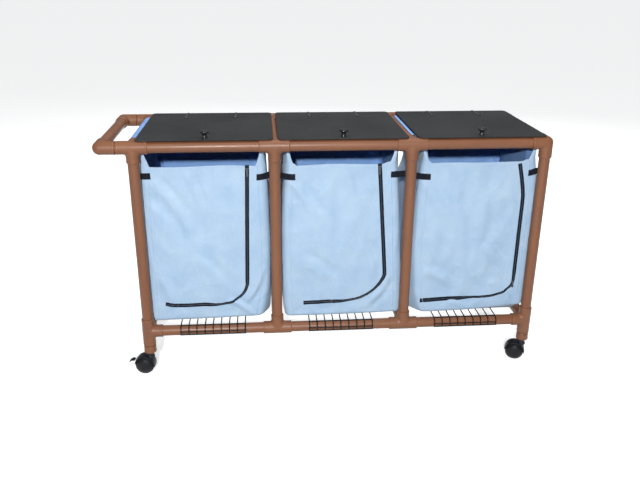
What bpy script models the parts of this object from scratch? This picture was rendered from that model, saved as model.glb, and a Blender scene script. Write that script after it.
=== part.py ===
"""Laundry sorter on wheels: a plastic-pipe cart that holds three fabric bags under three hinged lids.

Metres, +Z up. +X runs along the cart, away from its push handle, and +Y is the side of the lid hinges.
The origin is on the floor, under the middle of the whole cart.
"""

import math

import bmesh
import bpy
from mathutils import Matrix, Vector

# Driving dimensions of the frame.
BAY = 0.520
BAYS = 3
DEPTH = 0.500
TOP_RAIL_Z = 0.945
BOTTOM_RAIL_Z = 0.188
HANDLE_REACH = 0.117
GAP = 0.0003

# Furniture-grade pipe and its socket fittings.
PIPE_SIDES = 12
HALF_SIDE = math.pi / PIPE_SIDES
PIPE_R = 0.0211
PIPE_BORE_R = 0.0175
FITTING_R = 0.02525
OUTLET_R = 0.0246
OUTLET_BORE_R = 0.0168
FITTING_REACH = 0.057
SOCKET_STOP = 0.022
FOOT_Z = 0.095
CAP_HEIGHT = 0.030
CAP_FLOOR = 0.012

# Casters.
WHEEL_SIDES = 20
WHEEL_R = 0.0375
WHEEL_INNER_Y = 0.0068
WHEEL_OUTER_Y = 0.0310
AXLE_R = 0.0040
TRAIL = 0.025
STEM_R = 0.0055
STEM_HOLE_R = 0.0061
HOOD_IN_R = 0.0395
HOOD_OUT_R = 0.0423
HOOD_HALF_WIDTH = 0.0225
HOOD_START = math.radians(5)
HOOD_END = math.radians(190)
WEB_HALF_WIDTH = 0.0060
WEB_HUB_R = 0.013
BOSS_R = 0.0135
BOSS_BOTTOM_Z = 0.0765
STEM_REACH = 0.042
AXLE_CLEARANCE = 0.0004
LEVER_STANDOFF = 0.0028
LEVER_ANGLE = math.radians(24)
LEVER_HALF_WIDTH = 0.013
LEVER_OUTLINE = (
    (0, -0.0020),
    (0.004, 0.0025),
    (0.013, 0.0030),
    (0.027, -0.0060),
    (0.026, -0.0085),
    (0.013, -0.0006),
    (0.004, -0.0015),
)
FRONT_LEFT_YAW = math.radians(175)
FRONT_RIGHT_YAW = math.radians(160)

# Lids, their knobs and their hinge ties.
LID_THICKNESS = 0.0040
LID_FRONT_Y = -0.265
LID_BACK_Y = 0.245
LID_MARGINS = ((0.0111, 0.0050), (0.0142, 0.0149), (0.0210, 0.0034))
LID_CORNER_R = 0.015
KNOB_Y = -0.234
KNOB_PROFILE = (
    (0.0110, 0.0000),
    (0.0085, 0.0060),
    (0.0085, 0.0130),
    (0.0170, 0.0200),
    (0.0170, 0.0240),
    (0.0110, 0.0275),
)
TIE_OFFSET = 0.102
TIE_SLOT_Y = 0.140
TIE_WIDTH = 0.009
TIE_THICKNESS = 0.0018
TIE_CLEARANCE = 0.0012
TIE_DEPTH_UNDER_LID = 0.0035

# Bags.
CLOTH = 0.0016
BAG_INSET = 0.026
BAG_DEPTH = 0.444
BAG_BOTTOM_Z = 0.2135
BAG_FRONT_Z = 0.863
BAG_EAR_Z = 0.905
BAG_SIDE_Z = 0.911
BAG_CORNER_RISE = 0.018
BAG_CORNER_WIDTH = 0.030
HEM_R = 0.0223
HEM_HALF_LENGTH = 0.185
HEM_START = math.radians(-12)
HEM_TURN_END = math.radians(300)
HEM_TURN_SHARED = math.radians(72)
PULL_HALF_WIDTH = 0.004
PULL_LENGTH = 0.026
PULL_THICKNESS = 0.0020
PULLS = ((0.1050, 0.846), (0.1155, 0.846), (0.0565, 0.349))

# Corner straps, sewn to the bags' front panels and fastened behind the front legs: the length on the panel,
# the height of the lower edge there, and the rise up to the leg.
STRAP_HEIGHT = 0.0245
STRAP_THICKNESS = 0.0016
STRAP_END_ANGLE = math.radians(84)
STRAPS = (
    ((0.027, 0.816, 0.002), (0.044, 0.805, 0.018)),
    ((0.052, 0.803, 0.014), (0.046, 0.808, 0.007)),
    ((0.059, 0.796, 0.012), (0.020, 0.806, 0.019)),
)

# Wire racks under the bags.
WIRE = 0.0036
WIRE_COUNT = 9
WIRE_PITCH = 0.0326
RACK_FLAP = 0.034
RACK_CROSS_Y = (-0.254, -0.127, 0.0, 0.127, 0.254)
FLAP_DROPS = (RACK_FLAP, RACK_FLAP - WIRE, 0.0216, 0.0180)

LEFT_X = -(BAY * BAYS - HANDLE_REACH) / 2
LEG_X = [LEFT_X + BAY * index for index in range(BAYS + 1)]
HANDLE_X = LEFT_X - HANDLE_REACH
LID_BOTTOM_Z = TOP_RAIL_Z + FITTING_R + GAP
LID_TOP_Z = LID_BOTTOM_Z + LID_THICKNESS
RACK_Z = BOTTOM_RAIL_Z + PIPE_R + GAP

ALONG_X = Matrix.Rotation(math.pi / 2, 4, "Y")
ALONG_Y = Matrix.Rotation(-math.pi / 2, 4, "X")
ALONG_MINUS_Y = Matrix.Rotation(math.pi / 2, 4, "X")
ALONG_MINUS_Z = Matrix.Rotation(math.pi, 4, "X")


def clear_scene():
    for obj in list(bpy.data.objects):
        bpy.data.objects.remove(obj, do_unlink=True)


def material(name, color, roughness, metallic=0.0):
    made = bpy.data.materials.new(name)
    made.use_nodes = True
    shader = made.node_tree.nodes["Principled BSDF"]
    shader.inputs["Base Color"].default_value = (*color, 1.0)
    shader.inputs["Roughness"].default_value = roughness
    shader.inputs["Metallic"].default_value = metallic
    made.diffuse_color = (*color, 1.0)
    return made


def add_object(name, bm, look, smooth_angle=None, origin=None):
    """A named object from a bmesh in world space, with its origin moved to the given point."""
    mesh = bpy.data.meshes.new(name)
    if origin is not None:
        bm.transform(Matrix.Translation(-Vector(origin)))
    bmesh.ops.recalc_face_normals(bm, faces=bm.faces)
    if bm.calc_volume(signed=True) < 0:
        bmesh.ops.reverse_faces(bm, faces=bm.faces)
    bm.to_mesh(mesh)
    bm.free()
    obj = bpy.data.objects.new(name, mesh)
    bpy.context.scene.collection.objects.link(obj)
    if origin is not None:
        obj.location = origin
    if look is not None:
        mesh.materials.append(look)
    if smooth_angle is not None:
        mesh.shade_smooth()
        mesh.set_sharp_from_angle(angle=math.radians(smooth_angle))
    return obj


def turned(profile, sides, hollow=False, phase=0.0):
    """A solid turned about +Z through (radius, height) points: flat ends, or a ring if it is hollow."""
    bm = bmesh.new()
    angles = [phase + 2 * math.pi * side / sides for side in range(sides)]
    rings = []
    for radius, height in profile:
        rings.append([bm.verts.new((radius * math.cos(a), radius * math.sin(a), height)) for a in angles])
    pairs = list(zip(rings, rings[1:]))
    if hollow:
        pairs.append((rings[-1], rings[0]))
    else:
        bm.faces.new(rings[0])
        bm.faces.new(rings[-1])
    for low, high in pairs:
        for side in range(sides):
            after = (side + 1) % sides
            bm.faces.new((low[side], low[after], high[after], high[side]))
    return bm


def extruded(outline, depth, holes=()):
    """A prism from a flat outline in local XY, with optional holes, depth along +Z from zero."""
    bm = bmesh.new()
    edges = []
    for loop in (outline, *holes):
        corners = [bm.verts.new((x, y, 0)) for x, y in loop]
        edges += [bm.edges.new(pair) for pair in zip(corners, corners[1:] + corners[:1])]
    bmesh.ops.triangle_fill(bm, edges=edges, use_beauty=True, use_dissolve=False)
    bmesh.ops.recalc_face_normals(bm, faces=bm.faces)
    grown = bmesh.ops.extrude_face_region(bm, geom=list(bm.faces), use_keep_orig=True)
    moved = [item for item in grown["geom"] if isinstance(item, bmesh.types.BMVert)]
    bmesh.ops.translate(bm, verts=moved, vec=(0, 0, depth))
    return bm


def boolean(obj, other, operation):
    """Applies one exact Boolean and removes the other object."""
    modifier = obj.modifiers.new(operation, "BOOLEAN")
    modifier.operation = operation
    modifier.solver = "EXACT"
    modifier.object = other
    bpy.context.view_layer.update()
    evaluated = obj.evaluated_get(bpy.context.evaluated_depsgraph_get())
    mesh = bpy.data.meshes.new_from_object(evaluated)
    obj.modifiers.clear()
    old = obj.data
    obj.data = mesh
    bpy.data.meshes.remove(old)
    bpy.data.objects.remove(other, do_unlink=True)


def helper(bm, matrix):
    bm.transform(matrix)
    return add_object("helper", bm, None)


def arc(center, radius, start, end, steps):
    """Points along an arc in a plane, both ends included; angles in radians."""
    points = []
    for step in range(steps + 1):
        angle = start + (end - start) * step / steps
        points.append((center[0] + radius * math.cos(angle), center[1] + radius * math.sin(angle)))
    return points


def rounded_rectangle(x0, y0, x1, y1, radius, steps=4):
    quarter = math.pi / 2
    centers = (
        (x1 - radius, y1 - radius),
        (x0 + radius, y1 - radius),
        (x0 + radius, y0 + radius),
        (x1 - radius, y0 + radius),
    )
    points = []
    for corner, center in enumerate(centers):
        points += arc(center, radius, corner * quarter, (corner + 1) * quarter, steps)
    return points


def rectangle(x0, y0, x1, y1):
    return [(x0, y0), (x1, y0), (x1, y1), (x0, y1)]


def rail_outline(stops):
    """Turned profile of a pipe run with a fitting at each stop, as (radius, distance along X)."""
    dome = ((0.62, 1.0), (0.88, 0.78), (1.0, 0.42))
    profile = [(FITTING_R * radius, stops[0] - FITTING_R * reach) for radius, reach in dome]
    for index, stop in enumerate(stops):
        if index > 0:
            profile += [(PIPE_R, stop - FITTING_REACH), (FITTING_R, stop - FITTING_REACH)]
        if index < len(stops) - 1:
            profile += [(FITTING_R, stop + FITTING_REACH), (PIPE_R, stop + FITTING_REACH)]
    profile += [(FITTING_R * radius, stops[-1] + FITTING_R * reach) for radius, reach in reversed(dome)]
    return profile


def outlet(turn, place):
    """Solid and bore of one fitting outlet along the turned axis."""
    solid = [(OUTLET_R, 0), (OUTLET_R, FITTING_REACH)]
    past = FITTING_REACH + GAP
    socket_r = PIPE_R + GAP
    bore = [(OUTLET_BORE_R, 0), (OUTLET_BORE_R, SOCKET_STOP), (socket_r, SOCKET_STOP), (socket_r, past)]
    return (turned(solid, PIPE_SIDES, phase=HALF_SIDE), turned(bore, PIPE_SIDES), place @ turn)


def foot(place):
    """Solid and bore of a corner foot: outlet, pipe stub and the flared cap that takes a caster stem."""
    drop = BOTTOM_RAIL_Z - FOOT_Z
    cap = drop - CAP_HEIGHT
    solid = [
        (OUTLET_R, 0),
        (OUTLET_R, FITTING_REACH),
        (PIPE_R, FITTING_REACH),
        (PIPE_R, cap),
        (FITTING_R, cap + 0.002),
        (FITTING_R, drop - 0.003),
        (FITTING_R - 0.003, drop),
    ]
    floor = drop - CAP_FLOOR
    bore = [(OUTLET_BORE_R, 0), (OUTLET_BORE_R, floor), (STEM_HOLE_R, floor), (STEM_HOLE_R, drop + GAP)]
    return (turned(solid, PIPE_SIDES, phase=HALF_SIDE), turned(bore, PIPE_SIDES), place @ ALONG_MINUS_Z)


def add_rail(name, y, z, stops, leg_turn, look):
    """One long rail: pipe and glued fittings, with open sockets for the legs and the cross pipes."""
    cross_turn = ALONG_Y if y < 0 else ALONG_MINUS_Y
    run = turned(rail_outline(stops), PIPE_SIDES)
    run.transform(Matrix.Translation((0, y, z)) @ ALONG_X)
    rail = add_object(name, run, look)
    pieces = []
    for stop in stops:
        place = Matrix.Translation((stop, y, z))
        pieces.append(outlet(cross_turn, place))
        if stop in LEG_X:
            pieces.append(outlet(leg_turn, place))
        if z == BOTTOM_RAIL_Z and stop in (LEG_X[0], LEG_X[-1]):
            pieces.append(foot(place))
    for solid, _, matrix in pieces:
        boolean(rail, helper(solid, matrix), "UNION")
    through = turned([(PIPE_BORE_R, stops[0]), (PIPE_BORE_R, stops[-1])], PIPE_SIDES, phase=HALF_SIDE)
    boolean(rail, helper(through, Matrix.Translation((0, y, z)) @ ALONG_X), "DIFFERENCE")
    for _, bore, matrix in pieces:
        boolean(rail, helper(bore, matrix), "DIFFERENCE")
    rail.data.shade_smooth()
    rail.data.set_sharp_from_angle(angle=math.radians(40))
    return rail


def add_pipe(name, start, end, look):
    """A straight hollow pipe between two socket centres."""
    start = Vector(start)
    end = Vector(end)
    reach = SOCKET_STOP + GAP
    length = (end - start).length - 2 * reach
    profile = [(PIPE_BORE_R, 0), (PIPE_R, 0), (PIPE_R, length), (PIPE_BORE_R, length)]
    bm = turned(profile, PIPE_SIDES, hollow=True)
    direction = (end - start).normalized()
    turn = ALONG_Y if abs(direction.y) > 0.5 else Matrix.Identity(4)
    bm.transform(Matrix.Translation(start + direction * reach) @ turn)
    return add_object(name, bm, look, smooth_angle=40)


def add_frame(look):
    top_stops = [HANDLE_X, *LEG_X]
    sides = (("front", -DEPTH / 2), ("back", DEPTH / 2))
    for side, y in sides:
        add_rail(f"top_{side}_rail", y, TOP_RAIL_Z, top_stops, ALONG_MINUS_Z, look)
        add_rail(f"bottom_{side}_rail", y, BOTTOM_RAIL_Z, LEG_X, Matrix.Identity(4), look)
        for index, x in enumerate(LEG_X):
            add_pipe(f"{side}_leg_{index + 1}", (x, y, BOTTOM_RAIL_Z), (x, y, TOP_RAIL_Z), look)
    for level, z in (("top", TOP_RAIL_Z), ("bottom", BOTTOM_RAIL_Z)):
        for index, x in enumerate(LEG_X):
            add_pipe(f"{level}_cross_pipe_{index + 1}", (x, -DEPTH / 2, z), (x, DEPTH / 2, z), look)
    add_pipe("handle_bar", (HANDLE_X, -DEPTH / 2, TOP_RAIL_Z), (HANDLE_X, DEPTH / 2, TOP_RAIL_Z), look)


def add_caster(label, leg, yaw, with_brake, looks):
    """A twin-wheel caster: swivel hood with its stem, wheel pair on one axle, and perhaps a brake lever."""
    swivel = Matrix.Translation(leg) @ Matrix.Rotation(yaw, 4, "Z")
    axle = (TRAIL, WHEEL_R)
    upright = Matrix.Rotation(math.pi / 2, 4, "X")
    cover = arc(axle, HOOD_OUT_R, HOOD_START, HOOD_END, 14)
    cover += arc(axle, HOOD_IN_R, HOOD_END, HOOD_START, 14)
    hood_bm = extruded(cover, 2 * HOOD_HALF_WIDTH)
    hood_bm.transform(Matrix.Translation((0, HOOD_HALF_WIDTH, 0)) @ upright)
    hood_bm.transform(swivel)
    hood = add_object(f"caster_hood_{label}", hood_bm, looks["hood"], origin=leg)
    web_r = (HOOD_IN_R + HOOD_OUT_R) / 2
    web = arc(axle, web_r, HOOD_START, HOOD_END, 10)
    web += arc(axle, WEB_HUB_R, math.radians(215), math.radians(340), 4)
    web_bm = extruded(web, 2 * WEB_HALF_WIDTH)
    boolean(hood, helper(web_bm, swivel @ Matrix.Translation((0, WEB_HALF_WIDTH, 0)) @ upright), "UNION")
    boss_top = FOOT_Z - 2 * GAP
    boss = [
        (BOSS_R, BOSS_BOTTOM_Z),
        (BOSS_R, boss_top - 0.002),
        (BOSS_R - 0.002, boss_top),
        (STEM_R, boss_top),
        (STEM_R, FOOT_Z + STEM_REACH),
    ]
    boolean(hood, helper(turned(boss, 12), swivel), "UNION")
    hole_r = AXLE_R + AXLE_CLEARANCE
    hole = turned([(hole_r, -2 * WEB_HALF_WIDTH), (hole_r, 2 * WEB_HALF_WIDTH)], 12)
    boolean(hood, helper(hole, swivel @ Matrix.Translation((TRAIL, 0, WHEEL_R)) @ ALONG_Y), "DIFFERENCE")
    hood.data.shade_smooth()
    hood.data.set_sharp_from_angle(angle=math.radians(40))

    tread_r = WHEEL_R / math.cos(math.pi / WHEEL_SIDES)
    half = [
        (0.014, WHEEL_OUTER_Y),
        (0.031, WHEEL_OUTER_Y - 0.006),
        (tread_r, WHEEL_OUTER_Y - 0.014),
        (tread_r, WHEEL_INNER_Y + 0.003),
        (0.0345, WHEEL_INNER_Y),
        (AXLE_R, WHEEL_INNER_Y),
    ]
    profile = [(radius, -height) for radius, height in half] + list(reversed(half))
    flat_down = math.pi / 2 + math.pi / WHEEL_SIDES
    wheel_bm = turned(profile, WHEEL_SIDES, phase=flat_down)
    hub = Vector((TRAIL, 0, WHEEL_R))
    wheel_bm.transform(swivel @ Matrix.Translation(hub) @ ALONG_Y)
    add_object(f"caster_wheels_{label}", wheel_bm, looks["wheel"], 30, origin=swivel @ hub)

    if with_brake:
        root_r = HOOD_OUT_R + LEVER_STANDOFF
        pivot = hub + Vector((root_r * math.cos(LEVER_ANGLE), 0, root_r * math.sin(LEVER_ANGLE)))
        lever_bm = extruded(LEVER_OUTLINE, 2 * LEVER_HALF_WIDTH)
        lever_bm.transform(Matrix.Translation((0, LEVER_HALF_WIDTH, 0)) @ upright)
        lever_bm.transform(swivel @ Matrix.Translation(pivot))
        add_object(f"brake_lever_{label}", lever_bm, looks["hood"], 40, origin=swivel @ pivot)


def add_casters(looks):
    left = LEG_X[0]
    right = LEG_X[-1]
    half = DEPTH / 2
    add_caster("front_left", (left, -half, 0), FRONT_LEFT_YAW, True, looks)
    add_caster("front_right", (right, -half, 0), FRONT_RIGHT_YAW, False, looks)
    add_caster("back_left", (left, half, 0), -FRONT_LEFT_YAW, True, looks)
    add_caster("back_right", (right, half, 0), -FRONT_RIGHT_YAW, False, looks)


def lid_span(bay):
    margin_left, margin_right = LID_MARGINS[bay]
    return LEG_X[bay] + margin_left, LEG_X[bay + 1] - margin_right


def tie_outline():
    """Inner and outer loops of a hinge tie in the YZ plane, from the lid slot round the back rail."""
    rail = (DEPTH / 2, TOP_RAIL_Z)
    loops = []
    for grow in (0.0, TIE_THICKNESS):
        radius = PIPE_R + TIE_CLEARANCE + grow
        top = LID_TOP_Z + GAP + grow
        slot = TIE_SLOT_Y - grow
        bottom = LID_BOTTOM_Z - TIE_DEPTH_UNDER_LID - grow
        loop = [(slot, bottom), (slot, top), (LID_BACK_Y + 0.002, top)]
        loop += arc(rail, radius, math.radians(35), math.radians(-110), 9)
        loops.append(loop)
    return loops


def add_lid(bay, looks):
    """A lid plate with its knob and its two hinge ties, all turning about the back rail."""
    x0, x1 = lid_span(bay)
    middle = (x0 + x1) / 2
    hinge = (middle, DEPTH / 2, TOP_RAIL_Z)
    outline = rounded_rectangle(x0, LID_FRONT_Y, x1, LID_BACK_Y, LID_CORNER_R)
    slots = []
    for side in (-1, 1):
        center = middle + side * TIE_OFFSET
        half_width = TIE_WIDTH / 2 + 2 * GAP
        y0 = TIE_SLOT_Y - TIE_THICKNESS - 2 * GAP
        y1 = TIE_SLOT_Y + 2 * GAP
        slots.append(rectangle(center - half_width, y0, center + half_width, y1))
    plate = extruded(outline, LID_THICKNESS, slots)
    plate.transform(Matrix.Translation((0, 0, LID_BOTTOM_Z)))
    add_object(f"lid_{bay + 1}", plate, looks["lid"], origin=hinge)

    knob_bm = turned(KNOB_PROFILE, 12)
    knob_bm.transform(Matrix.Translation((middle, KNOB_Y, LID_TOP_Z + GAP)))
    add_object(f"lid_knob_{bay + 1}", knob_bm, looks["knob"], 40, origin=hinge)

    upright = Matrix.Rotation(math.pi / 2, 4, "Z") @ Matrix.Rotation(math.pi / 2, 4, "X")
    for side, label in ((-1, "left"), (1, "right")):
        inner, outer = tie_outline()
        tie_bm = extruded(outer, TIE_WIDTH, [inner])
        tie_bm.transform(Matrix.Translation((middle + side * TIE_OFFSET - TIE_WIDTH / 2, 0, 0)) @ upright)
        add_object(f"hinge_tie_{bay + 1}_{label}", tie_bm, looks["tie"], origin=hinge)


def bag_path(x0, x1):
    """The bag's outline seen from above, counter-clockwise from the front left corner."""
    y = BAG_DEPTH / 2
    fronts = [x0 + (x1 - x0) * share for share in (0.0, 0.03, 0.29, 0.71, 0.97, 1.0)]
    sides = [-y, -HEM_HALF_LENGTH, -0.09, 0.0, 0.09, HEM_HALF_LENGTH, y]
    path = [(x, -y) for x in fronts[:-1]]
    path += [(x1, side) for side in sides[:-1]]
    path += [(x, y) for x in reversed(fronts[1:])]
    path += [(x0, side) for side in reversed(sides[1:])]
    return path


def bag_top(x, y, x0, x1):
    """Height of the bag's mouth above a point of its outline."""
    if x in (x0, x1):
        return BAG_EAR_Z if abs(y) > HEM_HALF_LENGTH + GAP else BAG_SIDE_Z
    near_corner = min(x - x0, x1 - x) < BAG_CORNER_WIDTH
    return BAG_FRONT_Z + (BAG_CORNER_RISE if near_corner else 0.0)


def add_hem(bm, top, leg, turn_in, sweep, steps):
    """Rolls the top edge of one side wall round the cross pipe above it."""
    before = top
    for step in range(steps + 1):
        angle = HEM_START + sweep * step / steps
        x = LEG_X[leg] + turn_in * HEM_R * math.cos(angle)
        z = TOP_RAIL_Z + HEM_R * math.sin(angle)
        row = [bm.verts.new((x, vert.co.y, z)) for vert in top]
        for index in range(len(row) - 1):
            bm.faces.new((before[index], before[index + 1], row[index + 1], row[index]))
        before = row


def add_bag(bay, look):
    """An open bag of one cloth thickness, whose side walls rise into hems round the top cross pipes."""
    x0 = LEG_X[bay] + BAG_INSET
    x1 = LEG_X[bay + 1] - BAG_INSET
    bm = bmesh.new()
    path = bag_path(x0, x1)
    rows = [[bm.verts.new((x, y, z)) for x, y in path] for z in (BAG_BOTTOM_Z, 0.45, 0.70)]
    rows.append([bm.verts.new((x, y, bag_top(x, y, x0, x1))) for x, y in path])
    for low, high in zip(rows, rows[1:]):
        for index in range(len(path)):
            after = (index + 1) % len(path)
            bm.faces.new((low[index], low[after], high[after], high[index]))
    bottom = [bm.edges.get(pair) for pair in zip(rows[0], rows[0][1:] + rows[0][:1])]
    bmesh.ops.triangle_fill(bm, edges=bottom)
    for wall_x, leg, turn_in in ((x0, bay, 1), (x1, bay + 1, -1)):
        hemmed = [
            vert for vert, (x, y) in zip(rows[-1], path) if x == wall_x and abs(y) <= HEM_HALF_LENGTH
        ]
        hemmed.sort(key=lambda vert: vert.co.y)
        at_end = leg in (0, BAYS)
        add_hem(bm, hemmed, leg, turn_in, HEM_TURN_END if at_end else HEM_TURN_SHARED, 10 if at_end else 3)
    bmesh.ops.recalc_face_normals(bm, faces=bm.faces)
    obj = add_object(f"bag_{bay + 1}", bm, look)
    solid = obj.modifiers.new("cloth", "SOLIDIFY")
    solid.thickness = CLOTH
    solid.offset = -1.0
    solid.use_even_offset = True
    return obj


def add_pull(bay, look):
    """A zipper pull just in front of the bag's front wall, hanging from its slider."""
    inset, z = PULLS[bay]
    x = LEG_X[bay + 1] - inset
    y = -BAG_DEPTH / 2 - 2 * GAP
    outline = rounded_rectangle(x - PULL_HALF_WIDTH, -PULL_LENGTH, x + PULL_HALF_WIDTH, 0, 0.003, 2)
    bm = extruded(outline, PULL_THICKNESS)
    bm.transform(Matrix.Translation((0, y, z)) @ ALONG_MINUS_Y)
    add_object(f"zipper_pull_{bay + 1}", bm, look, origin=(x, y, z))


def strap_outline(sewn_length):
    """A strap seen from above, in distances out from its leg and back from the rail line."""
    half = STRAP_THICKNESS / 2
    panel = (DEPTH - BAG_DEPTH) / 2 - 2 * GAP - half
    contact = PIPE_R + GAP + half
    end = Vector((contact * math.cos(STRAP_END_ANGLE), contact * math.sin(STRAP_END_ANGLE)))
    corner = Vector((BAG_INSET, panel))
    sewn = Vector((BAG_INSET + sewn_length, panel))
    slope = (corner - end).normalized()
    lean = Vector((-slope.y, slope.x)) * half
    flat = Vector((0, half))
    bend = (lean + flat) / 2
    return [end - lean, corner - bend, sewn - flat, sewn + flat, corner + bend, end + lean]


def add_straps(look):
    """Flat webbing bands from the front of each bag to the backs of the legs beside it."""
    for bay, pair in enumerate(STRAPS):
        sides = zip(("left", "right"), (bay, bay + 1), (1, -1), pair)
        for label, leg, turn, (length, low, rise) in sides:
            bm = extruded(strap_outline(length), STRAP_HEIGHT)
            for vert in bm.verts:
                vert.co.z += low + rise * (1 - vert.co.x / (BAG_INSET + length))
                vert.co.x = LEG_X[leg] + turn * vert.co.x
                vert.co.y -= DEPTH / 2
            add_object(f"corner_strap_{bay + 1}_{label}", bm, look)


def rack_stations():
    """Points (y, z) of a rack's two skins, from the flap's hem to the back, and its rows of cross wires."""
    front = -DEPTH / 2 - PIPE_R - 2 * GAP
    half = WIRE / 2
    inner = [(front, RACK_Z - drop) for drop in FLAP_DROPS]
    outer = [(front - WIRE, RACK_Z - drop) for drop in FLAP_DROPS]
    cross = {0, 2}
    inner.append((front, RACK_Z))
    outer.append((front - WIRE, RACK_Z + WIRE))
    for y in RACK_CROSS_Y:
        cross.add(len(inner))
        for edge in (y - half, y + half):
            inner.append((edge, RACK_Z))
            outer.append((edge, RACK_Z + WIRE))
    inner.append((-front, RACK_Z))
    outer.append((-front, RACK_Z + WIRE))
    return inner, outer, cross


def lattice(xs, inner, outer, cross):
    """A wire lattice: even columns are wires along the path, and rows in cross are wires along X."""
    bm = bmesh.new()
    grid = {}
    for column, x in enumerate(xs):
        for row, skins in enumerate(zip(inner, outer)):
            for skin, (y, z) in enumerate(skins):
                grid[column, row, skin] = bm.verts.new((x, y, z))
    cells = [(column, row) for column in range(len(xs) - 1) for row in range(len(inner) - 1)]
    solid = {(column, row) for column, row in cells if column % 2 == 0 or row in cross}
    for column, row in sorted(solid):
        square = ((column, row), (column + 1, row), (column + 1, row + 1), (column, row + 1))
        neighbours = ((column, row - 1), (column + 1, row), (column, row + 1), (column - 1, row))
        for skin in (0, 1):
            bm.faces.new([grid[(*corner, skin)] for corner in square])
        for neighbour, start, end in zip(neighbours, square, square[1:] + square[:1]):
            if neighbour not in solid:
                bm.faces.new([grid[(*start, 0)], grid[(*end, 0)], grid[(*end, 1)], grid[(*start, 1)]])
    loose = [vert for vert in bm.verts if not vert.link_faces]
    bmesh.ops.delete(bm, geom=loose, context="VERTS")
    return bm


def add_rack(bay, look):
    """A wire grid that lies on the bottom rails and bends down over the front rail."""
    middle = (LEG_X[bay] + LEG_X[bay + 1]) / 2
    xs = []
    for index in range(WIRE_COUNT):
        x = middle + WIRE_PITCH * (index - (WIRE_COUNT - 1) / 2)
        xs += [x - WIRE / 2, x + WIRE / 2]
    add_object(f"wire_rack_{bay + 1}", lattice(xs, *rack_stations()), look)


def main():
    clear_scene()
    pipe = material("pipe", (0.27, 0.135, 0.075), 0.42)
    lid = material("lid", (0.055, 0.057, 0.060), 0.45)
    cloth = material("bag_fabric", (0.44, 0.62, 0.84), 0.62)
    webbing = material("webbing", (0.012, 0.014, 0.020), 0.75)
    wire = material("wire", (0.015, 0.015, 0.016), 0.40)
    looks = {
        "lid": lid,
        "knob": material("knob", (0.012, 0.012, 0.014), 0.30),
        "tie": material("tie", (0.015, 0.015, 0.017), 0.45),
        "hood": material("caster_hood", (0.020, 0.021, 0.025), 0.35),
        "wheel": material("caster_wheel", (0.018, 0.018, 0.020), 0.55),
    }
    metal = material("zipper_pull", (0.05, 0.05, 0.06), 0.35, 0.8)
    add_frame(pipe)
    add_casters(looks)
    add_straps(webbing)
    for bay in range(BAYS):
        add_lid(bay, looks)
        add_bag(bay, cloth)
        add_rack(bay, wire)
        add_pull(bay, metal)


main()
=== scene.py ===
"""Looks of the laundry sorter on wheels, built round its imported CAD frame. Metres, +Z up."""
import math
from collections import namedtuple

import bmesh
import bpy
import numpy as np
from mathutils import Matrix, Vector, noise


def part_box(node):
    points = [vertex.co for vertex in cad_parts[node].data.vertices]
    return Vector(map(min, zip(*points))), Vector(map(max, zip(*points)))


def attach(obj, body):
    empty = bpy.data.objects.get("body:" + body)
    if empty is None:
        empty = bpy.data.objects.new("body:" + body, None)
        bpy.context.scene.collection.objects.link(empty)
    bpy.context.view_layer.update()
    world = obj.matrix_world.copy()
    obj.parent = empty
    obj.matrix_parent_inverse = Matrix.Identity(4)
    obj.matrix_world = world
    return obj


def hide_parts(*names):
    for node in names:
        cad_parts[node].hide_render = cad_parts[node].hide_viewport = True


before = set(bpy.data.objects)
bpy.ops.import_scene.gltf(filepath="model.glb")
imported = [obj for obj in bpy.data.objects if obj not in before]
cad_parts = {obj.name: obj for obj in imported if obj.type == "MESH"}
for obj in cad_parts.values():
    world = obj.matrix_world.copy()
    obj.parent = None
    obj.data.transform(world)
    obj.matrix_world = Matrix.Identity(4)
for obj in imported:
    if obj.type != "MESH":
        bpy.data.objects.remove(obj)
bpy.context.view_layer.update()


def centre(node):
    low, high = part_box(node)
    return (low + high) / 2


# Places read from the frame.
LEG_X = [centre(f"front_leg_{index}").x for index in (1, 2, 3, 4)]
RAIL_Y = centre("back_leg_1").y
TOP_Z = centre("handle_bar").z
BOTTOM_Z = centre("bottom_cross_pipe_1").z
HANDLE_X = centre("handle_bar").x
RAIL_AT = {"front": -RAIL_Y, "back": RAIL_Y}
PIPE_R = (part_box("front_leg_1")[1].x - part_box("front_leg_1")[0].x) / 2
LID_LOW_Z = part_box("lid_1")[0].z
LID_HIGH_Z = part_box("lid_1")[1].z

# Fittings and pipe, as in the CAD.
FITTING_R = 0.0251
FITTING_REACH = 0.057
MOUTH_LENGTH = 0.009
FILLET = 0.009
PIPE_WALL = 0.0036
SOCKET_EASE = 0.0003
FOOT_Z = 0.095
CAP_HEIGHT = 0.030


def tenths(values):
    """Metres from numbers in tenths of a millimetre, however they are nested."""
    if isinstance(values, (list, tuple)):
        return [tenths(value) for value in values]
    return values / 10000


# ---------------------------------------------------------------- mesh tools
def put(name, data):
    """A new object in the scene."""
    obj = bpy.data.objects.new(name, data)
    bpy.context.scene.collection.objects.link(obj)
    return obj


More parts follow.
